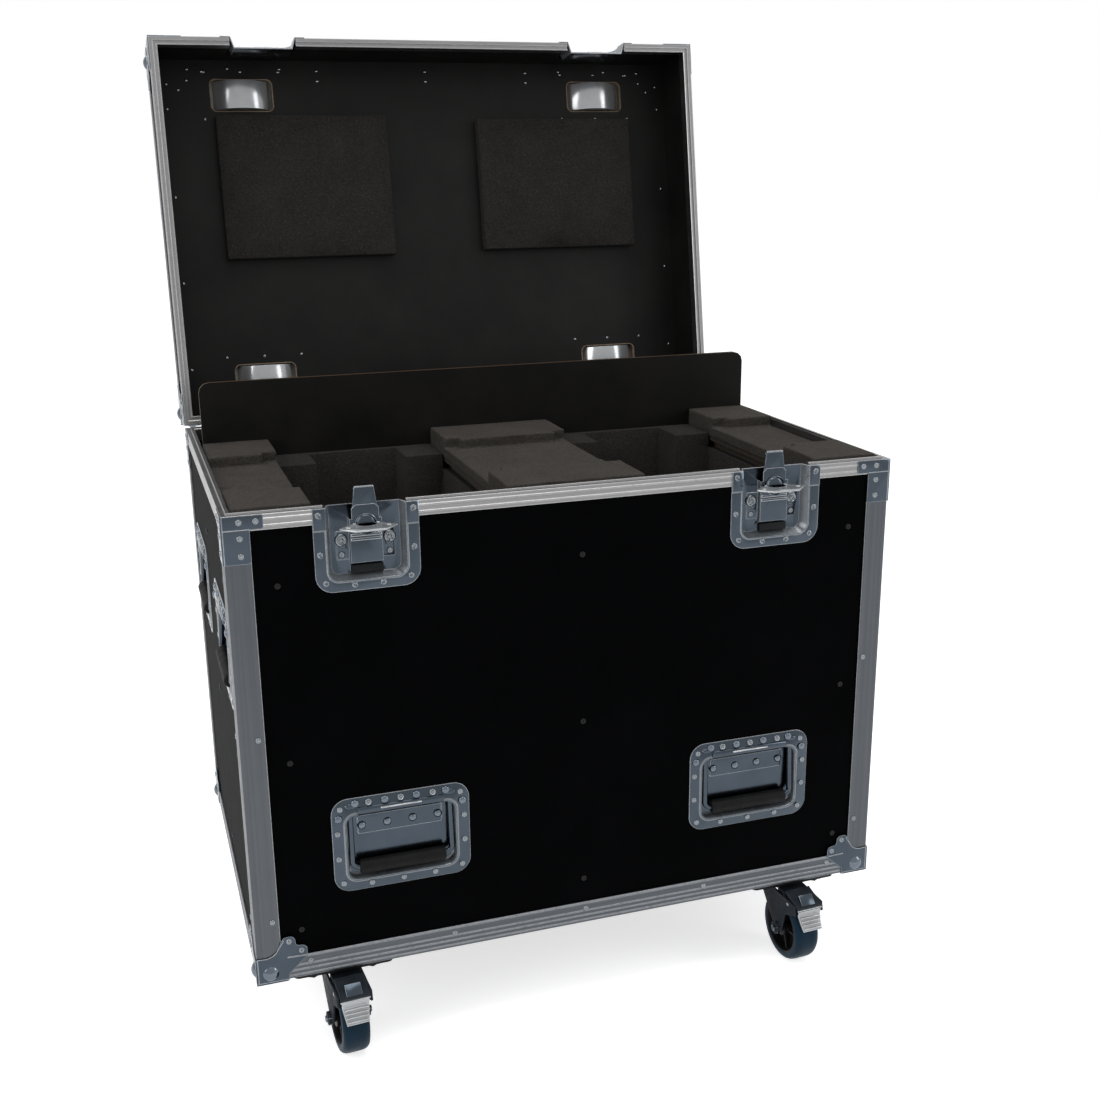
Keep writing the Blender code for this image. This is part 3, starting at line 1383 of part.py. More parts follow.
def castor_centres():
    x = RIGHT - CASTOR_X
    y = BACK - CASTOR_Y
    return {"front_left": (-x, -y), "front_right": (x, -y), "back_left": (-x, y),
            "back_right": (x, y)}


def castor_top():
    """Height of the castor boards' upper face."""
    return BOTTOM - SEAT_GAP


def castor_boards(finishes, base):
    """A board along each side under the case, with two bolted castor plates and races."""
    centres = castor_centres()
    for side in ("left", "right"):
        centre_x, centre_y = centres["front_" + side]
        half = CASTOR_BOARD_X / 2
        end = BACK - CASTOR_BOARD_INSET
        outline = rectangle(-half, half, -end, end, CASTOR_BOARD_CORNER, 2)
        shape = prism(outline, -CASTOR_BOARD, 0)
        fittings = []
        half_x = CASTOR_PLATE_X / 2
        half_y = CASTOR_PLATE_Y / 2
        plate = rectangle(-half_x, half_x, -half_y, half_y, CASTOR_PLATE_CORNER, 2)
        plate_low = -CASTOR_BOARD - CASTOR_PLATE
        for sign in (-1, 1):
            seat = Matrix.Translation((0, sign * centre_y, 0))
            fittings.append(placed(prism(plate, plate_low, -CASTOR_BOARD / 2), seat))
            race = turned([(RACE_RADIUS, plate_low - RACE_HEIGHT), (RACE_RADIUS, plate_low / 2)],
                          CASTOR_SIDES)
            fittings.append(placed(race, seat))
            for bolt_x in (-CASTOR_BOLT_X, CASTOR_BOLT_X):
                for bolt_y in (-CASTOR_BOLT_Y, CASTOR_BOLT_Y):
                    bolt = turned([(CASTOR_BOLT, plate_low - CASTOR_BOLT_HEIGHT),
                                   (CASTOR_BOLT, plate_low / 2)], RIVET_SIDES)
                    spot = seat @ Matrix.Translation((bolt_x, bolt_y, 0))
                    fittings.append(placed(bolt, spot))
        place = Matrix.Translation((centre_x, 0, castor_top()))
        board = placed(join(shape, *fittings), place)
        make_node(side + "_castor_board", board, finishes["fork"], base)


def crown_top():
    """Height of the fork's crown below the castor boards' upper face."""
    return -CASTOR_BOARD - CASTOR_PLATE - RACE_HEIGHT - SEAT_GAP


def axle_height():
    return BOTTOM - AXLE_DROP - castor_top()


def fork_shape():
    crown_low = crown_top() - CROWN_SHEET
    axle_z = axle_height()
    lobe = FORK_LOBE
    leg_top = crown_top() - CROWN_SHEET / 2
    outline = [(-FORK_BACK, leg_top), (TRAIL - lobe, axle_z), (TRAIL, axle_z - lobe),
               (TRAIL + lobe, axle_z), (FORK_WAIST_OUT, -FORK_WAIST_DROP),
               (FORK_HORN_OUT, -FORK_HORN_DROP), (FORK_HORN_OUT - PEDAL_PIN, -FORK_HORN_TOP),
               (FORK_BACK, leg_top)]
    outline = round_corners(outline, [0, lobe / 3, lobe / 2, lobe / 3, 0, 0, 0, 0], 2)
    inner = FORK_INNER_HALF
    outer = inner + FORK_SHEET
    legs = [placed(prism(outline, min(side * inner, side * outer),
                         max(side * inner, side * outer)), face_of_front()) for side in (-1, 1)]
    across = Matrix.Translation((TRAIL, 0, axle_z)) @ Matrix.Rotation(math.pi / 2, 4, "X")
    nut = outer + AXLE_NUT_THICKNESS
    pin = turned([(AXLE_NUT, -nut), (AXLE_NUT, -outer), (AXLE, -outer), (AXLE, outer),
                  (AXLE_NUT, outer), (AXLE_NUT, nut)], KNUCKLE_SIDES)
    pivot_across = (Matrix.Translation((PEDAL_PIVOT_OUT, 0, -PEDAL_PIVOT_DROP))
                    @ Matrix.Rotation(math.pi / 2, 4, "X"))
    hole = turned([(PEDAL_PIN + CUT_ROOM, -nut), (PEDAL_PIN + CUT_ROOM, nut)], KNUCKLE_SIDES)
    crown = turned([(CROWN_RADIUS, crown_low), (CROWN_RADIUS, crown_top())], CASTOR_SIDES)
    frame = join(crown, *legs, placed(pin, across))
    return cut(frame, placed(hole, pivot_across))


def wheel_shape():
    """Hub with the tyre moulded on it, about the wheel's own axis."""
    half = WHEEL_WIDTH / 2
    bore = AXLE / math.cos(math.pi / WHEEL_SIDES) + AXLE_ROOM
    shoulder = WHEEL_RADIUS - TYRE_EDGE
    half_profile = [(bore, HUB_BOSS_HALF), (HUB_BOSS, HUB_BOSS_HALF), (HUB_BOSS, HUB_WEB),
                    (HUB_RADIUS, HUB_WEB), (HUB_RADIUS, half), (shoulder, half),
                    (WHEEL_RADIUS, half - TYRE_EDGE)]
    other_half = [(radius, -height) for radius, height in reversed(half_profile)]
    return ring_solid(half_profile + other_half, WHEEL_SIDES)


def thick_line(points, thickness):
    """A closed outline that follows a line of points and lies to its right."""
    line = [Vector(point) for point in points]
    other = []
    for index, here in enumerate(line):
        back = (here - line[max(index - 1, 0)]).normalized()
        ahead = (line[min(index + 1, len(line) - 1)] - here).normalized()
        along = (back + ahead).normalized()
        square = Vector((along.y, -along.x))
        lead = ahead if index == 0 else back
        slant = square.dot(Vector((lead.y, -lead.x)))
        other.append(here + square * (thickness / slant))
    return line + other[::-1]


def pedal_shape():
    """Folded brake pedal about its cross pin: an arm, a raised tab and a tread."""
    pivot = Vector((PEDAL_PIVOT_OUT, -PEDAL_PIVOT_DROP))
    sheets = []
    for line, half in ((PEDAL_ARM, PEDAL_ARM_HALF), (PEDAL_TAB, PEDAL_TAB_HALF),
                       (PEDAL_FACE, PEDAL_FACE_HALF)):
        points = [Vector((out, -drop)) - pivot for out, drop in line]
        sheet = prism(thick_line(points, PEDAL_SHEET), -half, half)
        sheets.append(placed(sheet, face_of_front()))
    reach = FORK_INNER_HALF + FORK_SHEET
    pin = turned([(PEDAL_PIN, -reach), (PEDAL_PIN, reach)], KNUCKLE_SIDES)
    return join(*sheets, placed(pin, Matrix.Rotation(math.pi / 2, 4, "X")))


def castors(finishes, base):
    for name, (centre_x, centre_y) in castor_centres().items():
        turn = Matrix.Rotation(CASTOR_TURNS[name] - math.pi / 2, 4, "Z")
        place = Matrix.Translation((centre_x, centre_y, castor_top())) @ turn
        swivel = make_empty(name + "_castor_swivel", place, base)
        make_node(name + "_castor_fork", fork_shape(), finishes["fork"], swivel)
        across = Matrix.Translation((TRAIL, 0, axle_height()))
        axle = make_empty(name + "_castor_axle", across @ Matrix.Rotation(math.pi / 2, 4, "X"),
                          swivel)
        make_node(name + "_castor_wheel", wheel_shape(), finishes["wheel"], axle)
        if name.startswith("front"):
            pivot = Matrix.Translation((PEDAL_PIVOT_OUT, 0, -PEDAL_PIVOT_DROP))
            pedal_axis = make_empty(name + "_pedal_axis", pivot, swivel)
            make_node(name + "_brake_pedal", pedal_shape(), finishes["zinc"], pedal_axis)


def build():
    clear_scene()
    finishes = make_finishes()
    base = make_empty("case_base", Matrix.Identity(4))
    swing = Matrix.Translation(HINGE_CENTRE) @ Matrix.Rotation(-LID_OPEN_ANGLE, 4, "X")
    lid = make_empty("lid_hinge_axis", swing, base)
    base_panels(finishes, base)
    lid_box(finishes, lid)
    edge_frames(finishes, base, lid)
    ball_corners(finishes, base)
    handles(finishes, base)
    latches(finishes, base, lid)
    castor_cups(finishes, lid)
    hinge(finishes, base, lid)
    divider_board(finishes, base)
    board_stop(finishes, base)
    foam_blocks(finishes, base)
    ply_insert(finishes, base)
    well_lining(finishes, base)
    lid_foam_pads(finishes, lid)
    castor_boards(finishes, base)
    castors(finishes, base)


build()
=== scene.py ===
import math

import bpy
from mathutils import Matrix, Vector


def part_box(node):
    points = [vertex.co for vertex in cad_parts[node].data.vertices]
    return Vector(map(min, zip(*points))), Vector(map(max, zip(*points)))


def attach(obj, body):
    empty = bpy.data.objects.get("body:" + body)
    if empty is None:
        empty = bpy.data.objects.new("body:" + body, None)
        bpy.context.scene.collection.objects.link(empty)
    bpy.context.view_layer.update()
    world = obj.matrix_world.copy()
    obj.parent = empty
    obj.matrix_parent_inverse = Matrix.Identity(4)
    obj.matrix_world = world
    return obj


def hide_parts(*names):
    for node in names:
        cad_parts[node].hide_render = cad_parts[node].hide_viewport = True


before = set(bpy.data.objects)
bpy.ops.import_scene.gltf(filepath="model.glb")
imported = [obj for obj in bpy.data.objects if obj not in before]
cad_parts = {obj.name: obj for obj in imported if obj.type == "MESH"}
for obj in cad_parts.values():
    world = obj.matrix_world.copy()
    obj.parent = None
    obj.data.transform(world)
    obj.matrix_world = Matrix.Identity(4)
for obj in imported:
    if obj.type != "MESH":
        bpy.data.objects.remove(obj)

# Sizes shared with the solids, in metres
FRONT = -0.296
BACK = 0.296
RIGHT = 0.450
BOTTOM = -0.0019
RIM_TOP = 0.6281
LID_BOTTOM = 0.6286
LID_TOP = 0.7406
LID_CEILING = 0.7297
SKIN = 0.0019
SHEET = 0.0012
EDGE_WALL = 0.0016
EDGE_LEG = 0.0325
PIN_Y = 0.2999
PIN_Z = 0.62835
OPEN_ANGLE = math.radians(99.4)
LATCH_X = 0.2775
HANDLE_X = 0.251
HANDLE_UP = 0.1785
HANDLE_DEPTH = 0.0125
NOTCH_HALF = 0.0513
GROUND = -0.1319

LID_SWING = (Matrix.Translation((0, PIN_Y, PIN_Z))
             @ Matrix.Rotation(-OPEN_ANGLE, 4, "X")
             @ Matrix.Translation((0, -PIN_Y, -PIN_Z)))
CORNER_NAMES = ["front_left", "back_left", "front_right", "back_right"]

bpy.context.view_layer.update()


# Picking up and shaping pieces

def let_go():
    held = bpy.context.view_layer.objects.active
    if held and held.mode != "OBJECT":
        bpy.ops.object.mode_set(mode="OBJECT")
    bpy.ops.object.select_all(action="DESELECT")


def take(piece):
    let_go()
    piece.select_set(True)
    bpy.context.view_layer.objects.active = piece


def settle(piece, name):
    """Names the piece and puts its place into its mesh."""
    piece.name = name
    take(piece)
    bpy.ops.object.transform_apply(location=True, rotation=True, scale=True)
    return piece


def edit(piece, chosen="SELECT", kind=None):
    """Starts edit mode with everything or nothing selected."""
    take(piece)
    bpy.ops.object.mode_set(mode="EDIT")
    if kind:
        bpy.ops.mesh.select_mode(type=kind)
    bpy.ops.mesh.select_all(action=chosen)


def finish_edit():
    bpy.ops.object.mode_set(mode="OBJECT")


def face_out(piece):
    """Merges doubles and turns every face outwards."""
    edit(piece, kind="VERT")
    bpy.ops.mesh.remove_doubles(threshold=0.00001)
    bpy.ops.mesh.normals_make_consistent(inside=False)
    finish_edit()
    return piece


def work(piece, kind, **settings):
    """Adds a modifier and applies it."""
    take(piece)
    change = piece.modifiers.new("work", kind)
    for setting, value in settings.items():
        setattr(change, setting, value)
    bpy.ops.object.modifier_apply(modifier=change.name)
    return piece


def soften(piece, width, segments=2, degrees=30):
    work(piece, "BEVEL", width=width, segments=segments, limit_method="ANGLE",
         angle_limit=math.radians(degrees), use_clamp_overlap=False, miter_outer="MITER_ARC")
    return piece


def smooth(piece, degrees=35):
    take(piece)
    bpy.ops.object.shade_smooth_by_angle(angle=math.radians(degrees))
    return piece


def cut_out(piece, *tools):
    for tool in tools:
        work(piece, "BOOLEAN", object=tool, operation="DIFFERENCE", solver="EXACT")
        bpy.data.objects.remove(tool, do_unlink=True)
    return piece


def fuse(name, pieces):
    """Makes one object of several."""
    let_go()
    for piece in pieces:
        piece.select_set(True)
    bpy.context.view_layer.objects.active = pieces[0]
    if len(pieces) > 1:
        bpy.ops.object.join()
    whole = bpy.context.view_layer.objects.active
    whole.name = name
    return whole


def copy_to(piece, name, place):
    """A copy of the piece with its own mesh, carried by the place matrix."""
    twin = bpy.data.objects.new(name, piece.data.copy())
    bpy.context.scene.collection.objects.link(twin)
    twin.data.transform(place)
    if place.determinant() < 0:
        twin.data.flip_normals()
    return twin


def drop(*pieces):
    for piece in pieces:
        bpy.data.objects.remove(piece, do_unlink=True)


# Starting shapes

def block(name, low, high):
    let_go()
    middle = [(a + b) / 2 for a, b in zip(low, high)]
    size = [b - a for a, b in zip(low, high)]
    bpy.ops.mesh.primitive_cube_add(size=1, location=middle, scale=size)
    return settle(bpy.context.object, name)


def flat_face(name, outline, height):
    """One flat face with that outline, in edit mode with everything selected."""
    let_go()
    bpy.ops.mesh.primitive_circle_add(vertices=len(outline), radius=1, fill_type="NGON")
    piece = bpy.context.object
    piece.name = name
    for vert, point in zip(piece.data.vertices, outline):
        vert.co = (point[0], point[1], height)
    edit(piece)
    return piece


def plate(name, outline, low, high):
    """A flat plate with that outline in u and v, between two heights."""
    piece = flat_face(name, outline, low)
    bpy.ops.mesh.extrude_region_move(TRANSFORM_OT_translate={"value": (0, 0, high - low)})
    finish_edit()
    return face_out(piece)


def grow_round(name, profile, sides, fill, grown):
    """A round skin grown along z, step by step through (radius, height) pairs."""
    let_go()
    radius, height = profile[0]
    bpy.ops.mesh.primitive_circle_add(vertices=sides, radius=radius, fill_type=fill,
                                      location=(0, 0, height))
    piece = settle(bpy.context.object, name)
    edit(piece)
    grow = {"region": bpy.ops.mesh.extrude_region_move,
            "edges": bpy.ops.mesh.extrude_edges_move}[grown]
    for wider, higher in profile[1:]:
        grow(TRANSFORM_OT_translate={"value": (0, 0, higher - height)})
        share = wider / radius
        bpy.ops.transform.resize(value=(share, share, 1), center_override=(0, 0, higher))
        radius, height = wider, higher
    finish_edit()
    return face_out(piece)


def turned_piece(name, profile, sides=24):
    """A round piece grown along z from (radius, height) pairs."""
    return grow_round(name, profile, sides, "NGON", "region")


def turned_ring(name, profile, sides=48):
    """A ring grown along z from a closed loop of (radius, height) pairs."""
    return grow_round(name, profile + profile[:1], sides, "NOTHING", "edges")


def pressed_piece(name, rings):
    """A closed pressing grown ring by ring; the rings share one number of points."""
    piece = flat_face(name, *rings[0])
    for outline, height in rings[1:]:
        bpy.ops.mesh.extrude_region_move(TRANSFORM_OT_translate={"value": (0, 0, 0)})
        finish_edit()
        newest = [vert for vert in piece.data.vertices if vert.select]
        for vert, point in zip(newest, outline):
            vert.co = (point[0], point[1], height)
        bpy.ops.object.mode_set(mode="EDIT")
    finish_edit()
    return face_out(piece)


def bent_rod(name, points, radius, sides=3):
    """A round rod along points, closed at both ends."""
    line = bpy.data.curves.new(name, "CURVE")
    line.dimensions = "3D"
    line.bevel_depth = radius
    line.bevel_resolution = sides
    line.use_fill_caps = True
    spline = line.splines.new("POLY")
    spline.points.add(len(points) - 1)
    for spot, point in zip(spline.points, points):
        spot.co = (*point, 1)
    holder = bpy.data.objects.new(name, line)
    bpy.context.scene.collection.objects.link(holder)
    take(holder)
    bpy.ops.object.convert(target="MESH")
    return face_out(bpy.context.object)


def finer_copy(node, name, width=0.0004):
    """A copy of a solid with its facets merged and its edges rounded a little."""
    piece = copy_to(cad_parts[node], name, Matrix())
    edit(piece, kind="VERT")
    bpy.ops.mesh.remove_doubles(threshold=0.00002)
    bpy.ops.mesh.dissolve_limited(angle_limit=math.radians(1))
    finish_edit()
    if width:
        soften(piece, width)
    return smooth(piece, 40)


# Outlines

def round_corners(points, radii, steps=6):
    """Replaces each corner that has a radius with an arc."""
    outline = []
    count = len(points)
    for index, point in enumerate(points):
        here = Vector(point)
        radius = radii[index]
        if radius <= 0:
            outline.append(here)
            continue
        behind = (Vector(points[index - 1]) - here).normalized()
        ahead = (Vector(points[(index + 1) % count]) - here).normalized()
        half = math.acos(max(-1, min(1, behind.dot(ahead)))) / 2
        centre = here + (behind + ahead).normalized() * (radius / math.sin(half))
        start = here + behind * (radius / math.tan(half)) - centre
        stop = here + ahead * (radius / math.tan(half)) - centre
        first = math.atan2(start.y, start.x)
        sweep = math.atan2(stop.y, stop.x) - first
        sweep = (sweep + math.pi) % math.tau - math.pi
        for step in range(steps + 1):
            angle = first + sweep * step / steps
            outline.append(centre + Vector((math.cos(angle), math.sin(angle))) * radius)
    return outline


def rectangle(left, right, low, high, radius=0, steps=6):
    corners = [(left, low), (right, low), (right, high), (left, high)]
    return round_corners(corners, [radius] * 4, steps)


# Places

def wall_place(centre, normal):
    """Local u runs across the wall, v runs up it and w points out of it."""
    out = Vector(normal)
    up = Vector((0, 0, 1))
    across = up.cross(out)
    return Matrix.Translation(centre) @ Matrix((across, up, out)).transposed().to_4x4()


def corner_places(level, upside_down):
    """Matrices that carry a shape drawn at the front left corner to all four corners."""
    places = []
    for sign_x in (1, -1):
        for sign_y in (1, -1):
            mirror = Matrix.Diagonal((sign_x, sign_y, -1 if upside_down else 1, 1))
            places.append(Matrix.Translation((-sign_x * RIGHT, sign_y * FRONT, level)) @ mirror)
    return places


FACE_FRONT = Matrix(((1, 0, 0, 0), (0, 0, 1, 0), (0, 1, 0, 0), (0, 0, 0, 1)))
FACE_SIDE = Matrix(((0, 0, 1, 0), (1, 0, 0, 0), (0, 1, 0, 0), (0, 0, 0, 1)))
TURN_TO_X = Matrix.Rotation(math.pi / 2, 4, "Y")


def handle_places():
    places = []
    for side, x in (("left", -HANDLE_X), ("right", HANDLE_X)):
        places.append(("front_" + side, wall_place((x, FRONT, BOTTOM + HANDLE_UP), (0, -1, 0))))
    for side, sign in (("left", -1), ("right", 1)):
        for end in ("front", "back"):
            low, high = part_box(side + "_" + end + "_handle_dish")
            middle = (sign * RIGHT, (low.y + high.y) / 2, (low.z + high.z) / 2)
            places.append((side + "_" + end, wall_place(middle, (sign, 0, 0))))
    return places


# Finishes: shared effects first

def new_group(name, inputs, outputs):
    """A shader node group with number inputs and outputs."""
    tree = bpy.data.node_groups.new(name, "ShaderNodeTree")
    for socket, value in inputs:
        made = tree.interface.new_socket(name=socket, in_out="INPUT",
                                         socket_type="NodeSocketFloat")
        made.default_value = value
    for socket in outputs:
        tree.interface.new_socket(name=socket, in_out="OUTPUT", socket_type="NodeSocketFloat")
    start = tree.nodes.new("NodeGroupInput")
    end = tree.nodes.new("NodeGroupOutput")
    return tree, start, end


def add_node(tree, kind, links=(), **settings):
    """Adds a node, sets it and links its inputs from (input, output socket) pairs."""
    made = tree.nodes.new(kind)
    for setting, value in settings.items():
        setattr(made, setting, value)
    for place, source in links:
        if isinstance(source, bpy.types.NodeSocket):
            tree.links.new(source, made.inputs[place])
        else:
            made.inputs[place].default_value = source
    return made


def sums(tree, operation, first, second, **settings):
    """The output of a sum of two sockets or numbers."""
    return add_node(tree, "ShaderNodeMath", [(0, first), (1, second)], operation=operation,
                    **settings).outputs[0]


def spread(tree, value, start, stop, low=0.0, high=1.0):
    """A value between start and stop carried to low and high."""
    return add_node(tree, "ShaderNodeMapRange",
                    [("Value", value), ("From Min", start), ("From Max", stop),
                     ("To Min", low), ("To Max", high)]).outputs["Result"]


def patches(tree, size, *more):
    """Noise in the object's own space, in patches of that size."""
    where = add_node(tree, "ShaderNodeTexCoord")
    scale = sums(tree, "DIVIDE", 1.0, size)
    return add_node(tree, "ShaderNodeTexNoise",
                    [("Vector", where.outputs["Object"]), ("Scale", scale), *more]).outputs["Fac"]


def grain_group():
    """Uneven patches of a surface as a number between Low and High."""
    tree, start, end = new_group(
        "grain", [("Size", 0.01), ("Detail", 5.0), ("Low", 0.0), ("High", 1.0)], ["Value"])
    given = start.outputs
    noise = patches(tree, given["Size"], ("Detail", given["Detail"]), ("Roughness", 0.6))
    tree.links.new(spread(tree, noise, 0.32, 0.68, given["Low"], given["High"]),
                   end.inputs["Value"])
    return tree


def brushed_group():
    """Fine lines drawn out along one direction, for rolled and extruded metal."""
    tree, start, end = new_group(
        "drawn_lines", [("Along X", 1.0), ("Along Y", 1.0), ("Along Z", 1.0), ("Low", 0.0),
                        ("High", 1.0)], ["Value"])
    given = start.outputs
    where = add_node(tree, "ShaderNodeTexCoord")
    stretch = add_node(tree, "ShaderNodeCombineXYZ",
                       [(axis, given["Along " + axis]) for axis in "XYZ"])
    moved = add_node(tree, "ShaderNodeVectorMath",
                     [(0, where.outputs["Object"]), (1, stretch.outputs[0])],
                     operation="MULTIPLY")
    noise = add_node(tree, "ShaderNodeTexNoise",
                     [("Vector", moved.outputs[0]), ("Scale", 1.0), ("Detail", 4.0)])
    tree.links.new(spread(tree, noise.outputs["Fac"], 0.3, 0.7, given["Low"], given["High"]),
                   end.inputs["Value"])
    return tree


def highlight_and_scuff_group():
    """Painted highlight on edges and creases, also scuffs on rubber, from nothing to Amount,
    broken up by patches.
    """
    tree, start, end = new_group("edge_highlight_and_scuffs", [("Amount", 1.0), ("Size", 0.01)], ["Value"])
    shape = add_node(tree, "ShaderNodeNewGeometry")
    rounded = add_node(tree, "ShaderNodeBevel", [("Radius", 0.0016)], samples=6)
    alike = add_node(tree, "ShaderNodeVectorMath",
                     [(0, shape.outputs["Normal"]), (1, rounded.outputs[0])],
                     operation="DOT_PRODUCT")
    # painted highlight: where the rounded normal turns from the face's own, at edges and creases
    edge = spread(tree, alike.outputs["Value"], 0.997, 0.95)
    noise = patches(tree, start.outputs["Size"], ("Detail", 6.0))
    both = sums(tree, "MULTIPLY", edge, spread(tree, noise, 0.3, 0.5, 0.6))
    tree.links.new(sums(tree, "MULTIPLY", both, start.outputs["Amount"]), end.inputs["Value"])
    return tree


GRAIN = grain_group()
DRAWN = brushed_group()
HIGHLIGHT_AND_SCUFFS = highlight_and_scuff_group()


class Finish:
    """One material with its Principled shader, ready for patterns."""

    def __init__(self, name, roughness, metallic=0.0, specular=0.5):
        self.material = bpy.data.materials.new(name)
        self.material.use_nodes = True
        self.tree = self.material.node_tree
        self.shader = self.tree.nodes["Principled BSDF"]
        self.set("Roughness", roughness)
        self.set("Metallic", metallic)
        self.set("Specular IOR Level", specular)

    def set(self, socket, value):
        self.shader.inputs[socket].default_value = value

    def link(self, output, socket):
        self.tree.links.new(output, self.shader.inputs[socket])

    def node(self, kind, links=(), **settings):
        return add_node(self.tree, kind, links, **settings)

    def group(self, tree, **values):
        made = self.tree.nodes.new("ShaderNodeGroup")
        made.node_tree = tree
        for socket, value in values.items():
            made.inputs[socket.replace("_", " ")].default_value = value
        return made.outputs["Value"]

    def mix(self, mask, dark, light):
        """A colour between two, by a mask; each end is a colour or another mix."""
        blend = self.node("ShaderNodeMix", data_type="RGBA")
        self.tree.links.new(mask, blend.inputs[0])
        for place, colour in ((6, dark), (7, light)):
            if isinstance(colour, bpy.types.NodeSocket):
                self.tree.links.new(colour, blend.inputs[place])
            else:
                blend.inputs[place].default_value = (*colour, 1)
        return blend.outputs[2]

    def cells(self, scale):
        """Distance from the middle of the nearest cell."""
        where = self.node("ShaderNodeTexCoord")
        return self.node("ShaderNodeTexVoronoi", [("Vector", where.outputs["Object"]),
                                                  ("Scale", scale)]).outputs["Distance"]

    def bump(self, height, strength, distance):
        made = self.node("ShaderNodeBump", [("Height", height), ("Strength", strength),
                                            ("Distance", distance)])
        self.link(made.outputs["Normal"], "Normal")


def laminate_finish(name, dark, light, roughness, specular):
    """Resin-faced ply: very dark, with a fine pebble and faint handling marks."""
    made = Finish(name, roughness, 0.0, specular)
    made.link(made.mix(made.group(GRAIN, Size=0.09, Detail=6.0), dark, light), "Base Color")
    made.link(made.group(GRAIN, Size=0.05, Low=roughness - 0.02, High=roughness + 0.02),
              "Roughness")
    made.bump(made.cells(650.0), 0.12, 0.0004)
    return made.material


def edged_board_finish():
    """The loose board: dark resin faces with the bare ply showing on its edges."""
    made = Finish("divider_board_face", 0.5, 0.0, 0.07)
    where = made.node("ShaderNodeTexCoord")
    parts = made.node("ShaderNodeSeparateXYZ", [(0, where.outputs["Normal"])])
    facing = made.node("ShaderNodeMath", [(0, parts.outputs["Y"])], operation="ABSOLUTE")
    edge = sums(made.tree, "LESS_THAN", facing.outputs[0], 0.5)
    layers = made.node("ShaderNodeTexWave",
                       [("Vector", where.outputs["Object"]), ("Scale", 160.0),
                        ("Distortion", 1.5), ("Detail", 2.0)], bands_direction="Y")
    ply = made.mix(layers.outputs["Fac"], (0.020, 0.013, 0.008), (0.060, 0.040, 0.024))
    marks = made.group(GRAIN, Size=0.12, Detail=6.0)
    face = made.mix(marks, (0.0036, 0.0034, 0.0032), (0.0080, 0.0074, 0.0068))
    made.link(made.mix(edge, face, ply), "Base Color")
    made.link(made.group(GRAIN, Size=0.06, Low=0.42, High=0.6), "Roughness")
    made.bump(made.group(GRAIN, Size=0.0012, Detail=3.0), 0.1, 0.0003)
    return made.material


def ply_finish(name, dark, light):
    """Birch ply: face grain with darker layer lines."""
    made = Finish(name, 0.7, 0.0, 0.3)
    lines = made.group(DRAWN, Along_X=8.0, Along_Y=260.0, Along_Z=260.0)
    made.link(made.mix(lines, dark, light), "Base Color")
    made.bump(lines, 0.15, 0.0003)
    return made.material


def foam_finish(name, dark, light, cell=0.0016):
    """Closed-cell foam: matt, with fine speckled cells."""
    made = Finish(name, 0.95, 0.0, 0.12)
    cells = made.cells(1 / cell)
    speckle = made.group(GRAIN, Size=0.0035, Detail=8.0)
    blotches = made.group(GRAIN, Size=0.05, Detail=4.0, Low=0.05, High=0.22)
    tone = sums(made.tree, "MULTIPLY", speckle, cells)
    made.link(made.mix(sums(made.tree, "ADD", tone, blotches, use_clamp=True), dark, light),
              "Base Color")
    made.bump(sums(made.tree, "ADD", speckle, cells), 0.7, 0.0009)
    return made.material


def metal_finish(name, dark, light, rough_low, rough_high, lines=None, edge_highlight=None, bump=0.0,
                 metallic=1.0):
    """Bare or plated metal with drawn lines or mottled patches and a painted highlight on its
    edges and creases.
    """
    made = Finish(name, rough_low, metallic)
    if lines:
        marks = made.group(DRAWN, Along_X=lines[0], Along_Y=lines[1], Along_Z=lines[2])
    else:
        marks = made.group(GRAIN, Size=0.035, Detail=3.0)
    colour = made.mix(marks, dark, light)
    # painted highlight: a lighter colour laid along edges and creases
    if edge_highlight:
        edge_highlight_mask = made.group(HIGHLIGHT_AND_SCUFFS, Amount=0.8, Size=0.006)
        colour = made.mix(edge_highlight_mask, colour, edge_highlight)
    made.link(colour, "Base Color")
    made.link(made.group(GRAIN, Size=0.02, Detail=4.0, Low=rough_low, High=rough_high),
              "Roughness")
    if bump:
        made.bump(marks, bump, 0.0004)
    return made.material


def rubber_finish(name, dark, light, roughness, grain=0.001, specular=0.12):
    """Rubber, plastic or dark paint: mottled, paler along edges and creases, as scuffs and painted
    highlight.
    """
    made = Finish(name, roughness, 0.0, specular)
    marks = made.group(GRAIN, Size=0.02, Detail=5.0)
    scuffs_and_highlight = made.group(HIGHLIGHT_AND_SCUFFS, Amount=0.6, Size=0.008)
    colour = made.mix(marks, dark, light)
    # paler along edges and creases: scuffs on the rims, painted highlight in the creases
    scuffed_and_lit = tuple(min(1.0, 2.2 * part + 0.01) for part in light)
    made.link(made.mix(scuffs_and_highlight, colour, scuffed_and_lit), "Base Color")
    made.link(made.group(GRAIN, Size=0.01, Low=roughness - 0.1, High=roughness + 0.1),
              "Roughness")
    made.bump(made.group(GRAIN, Size=grain, Detail=3.0), 0.2, 0.0003)
    return made.material


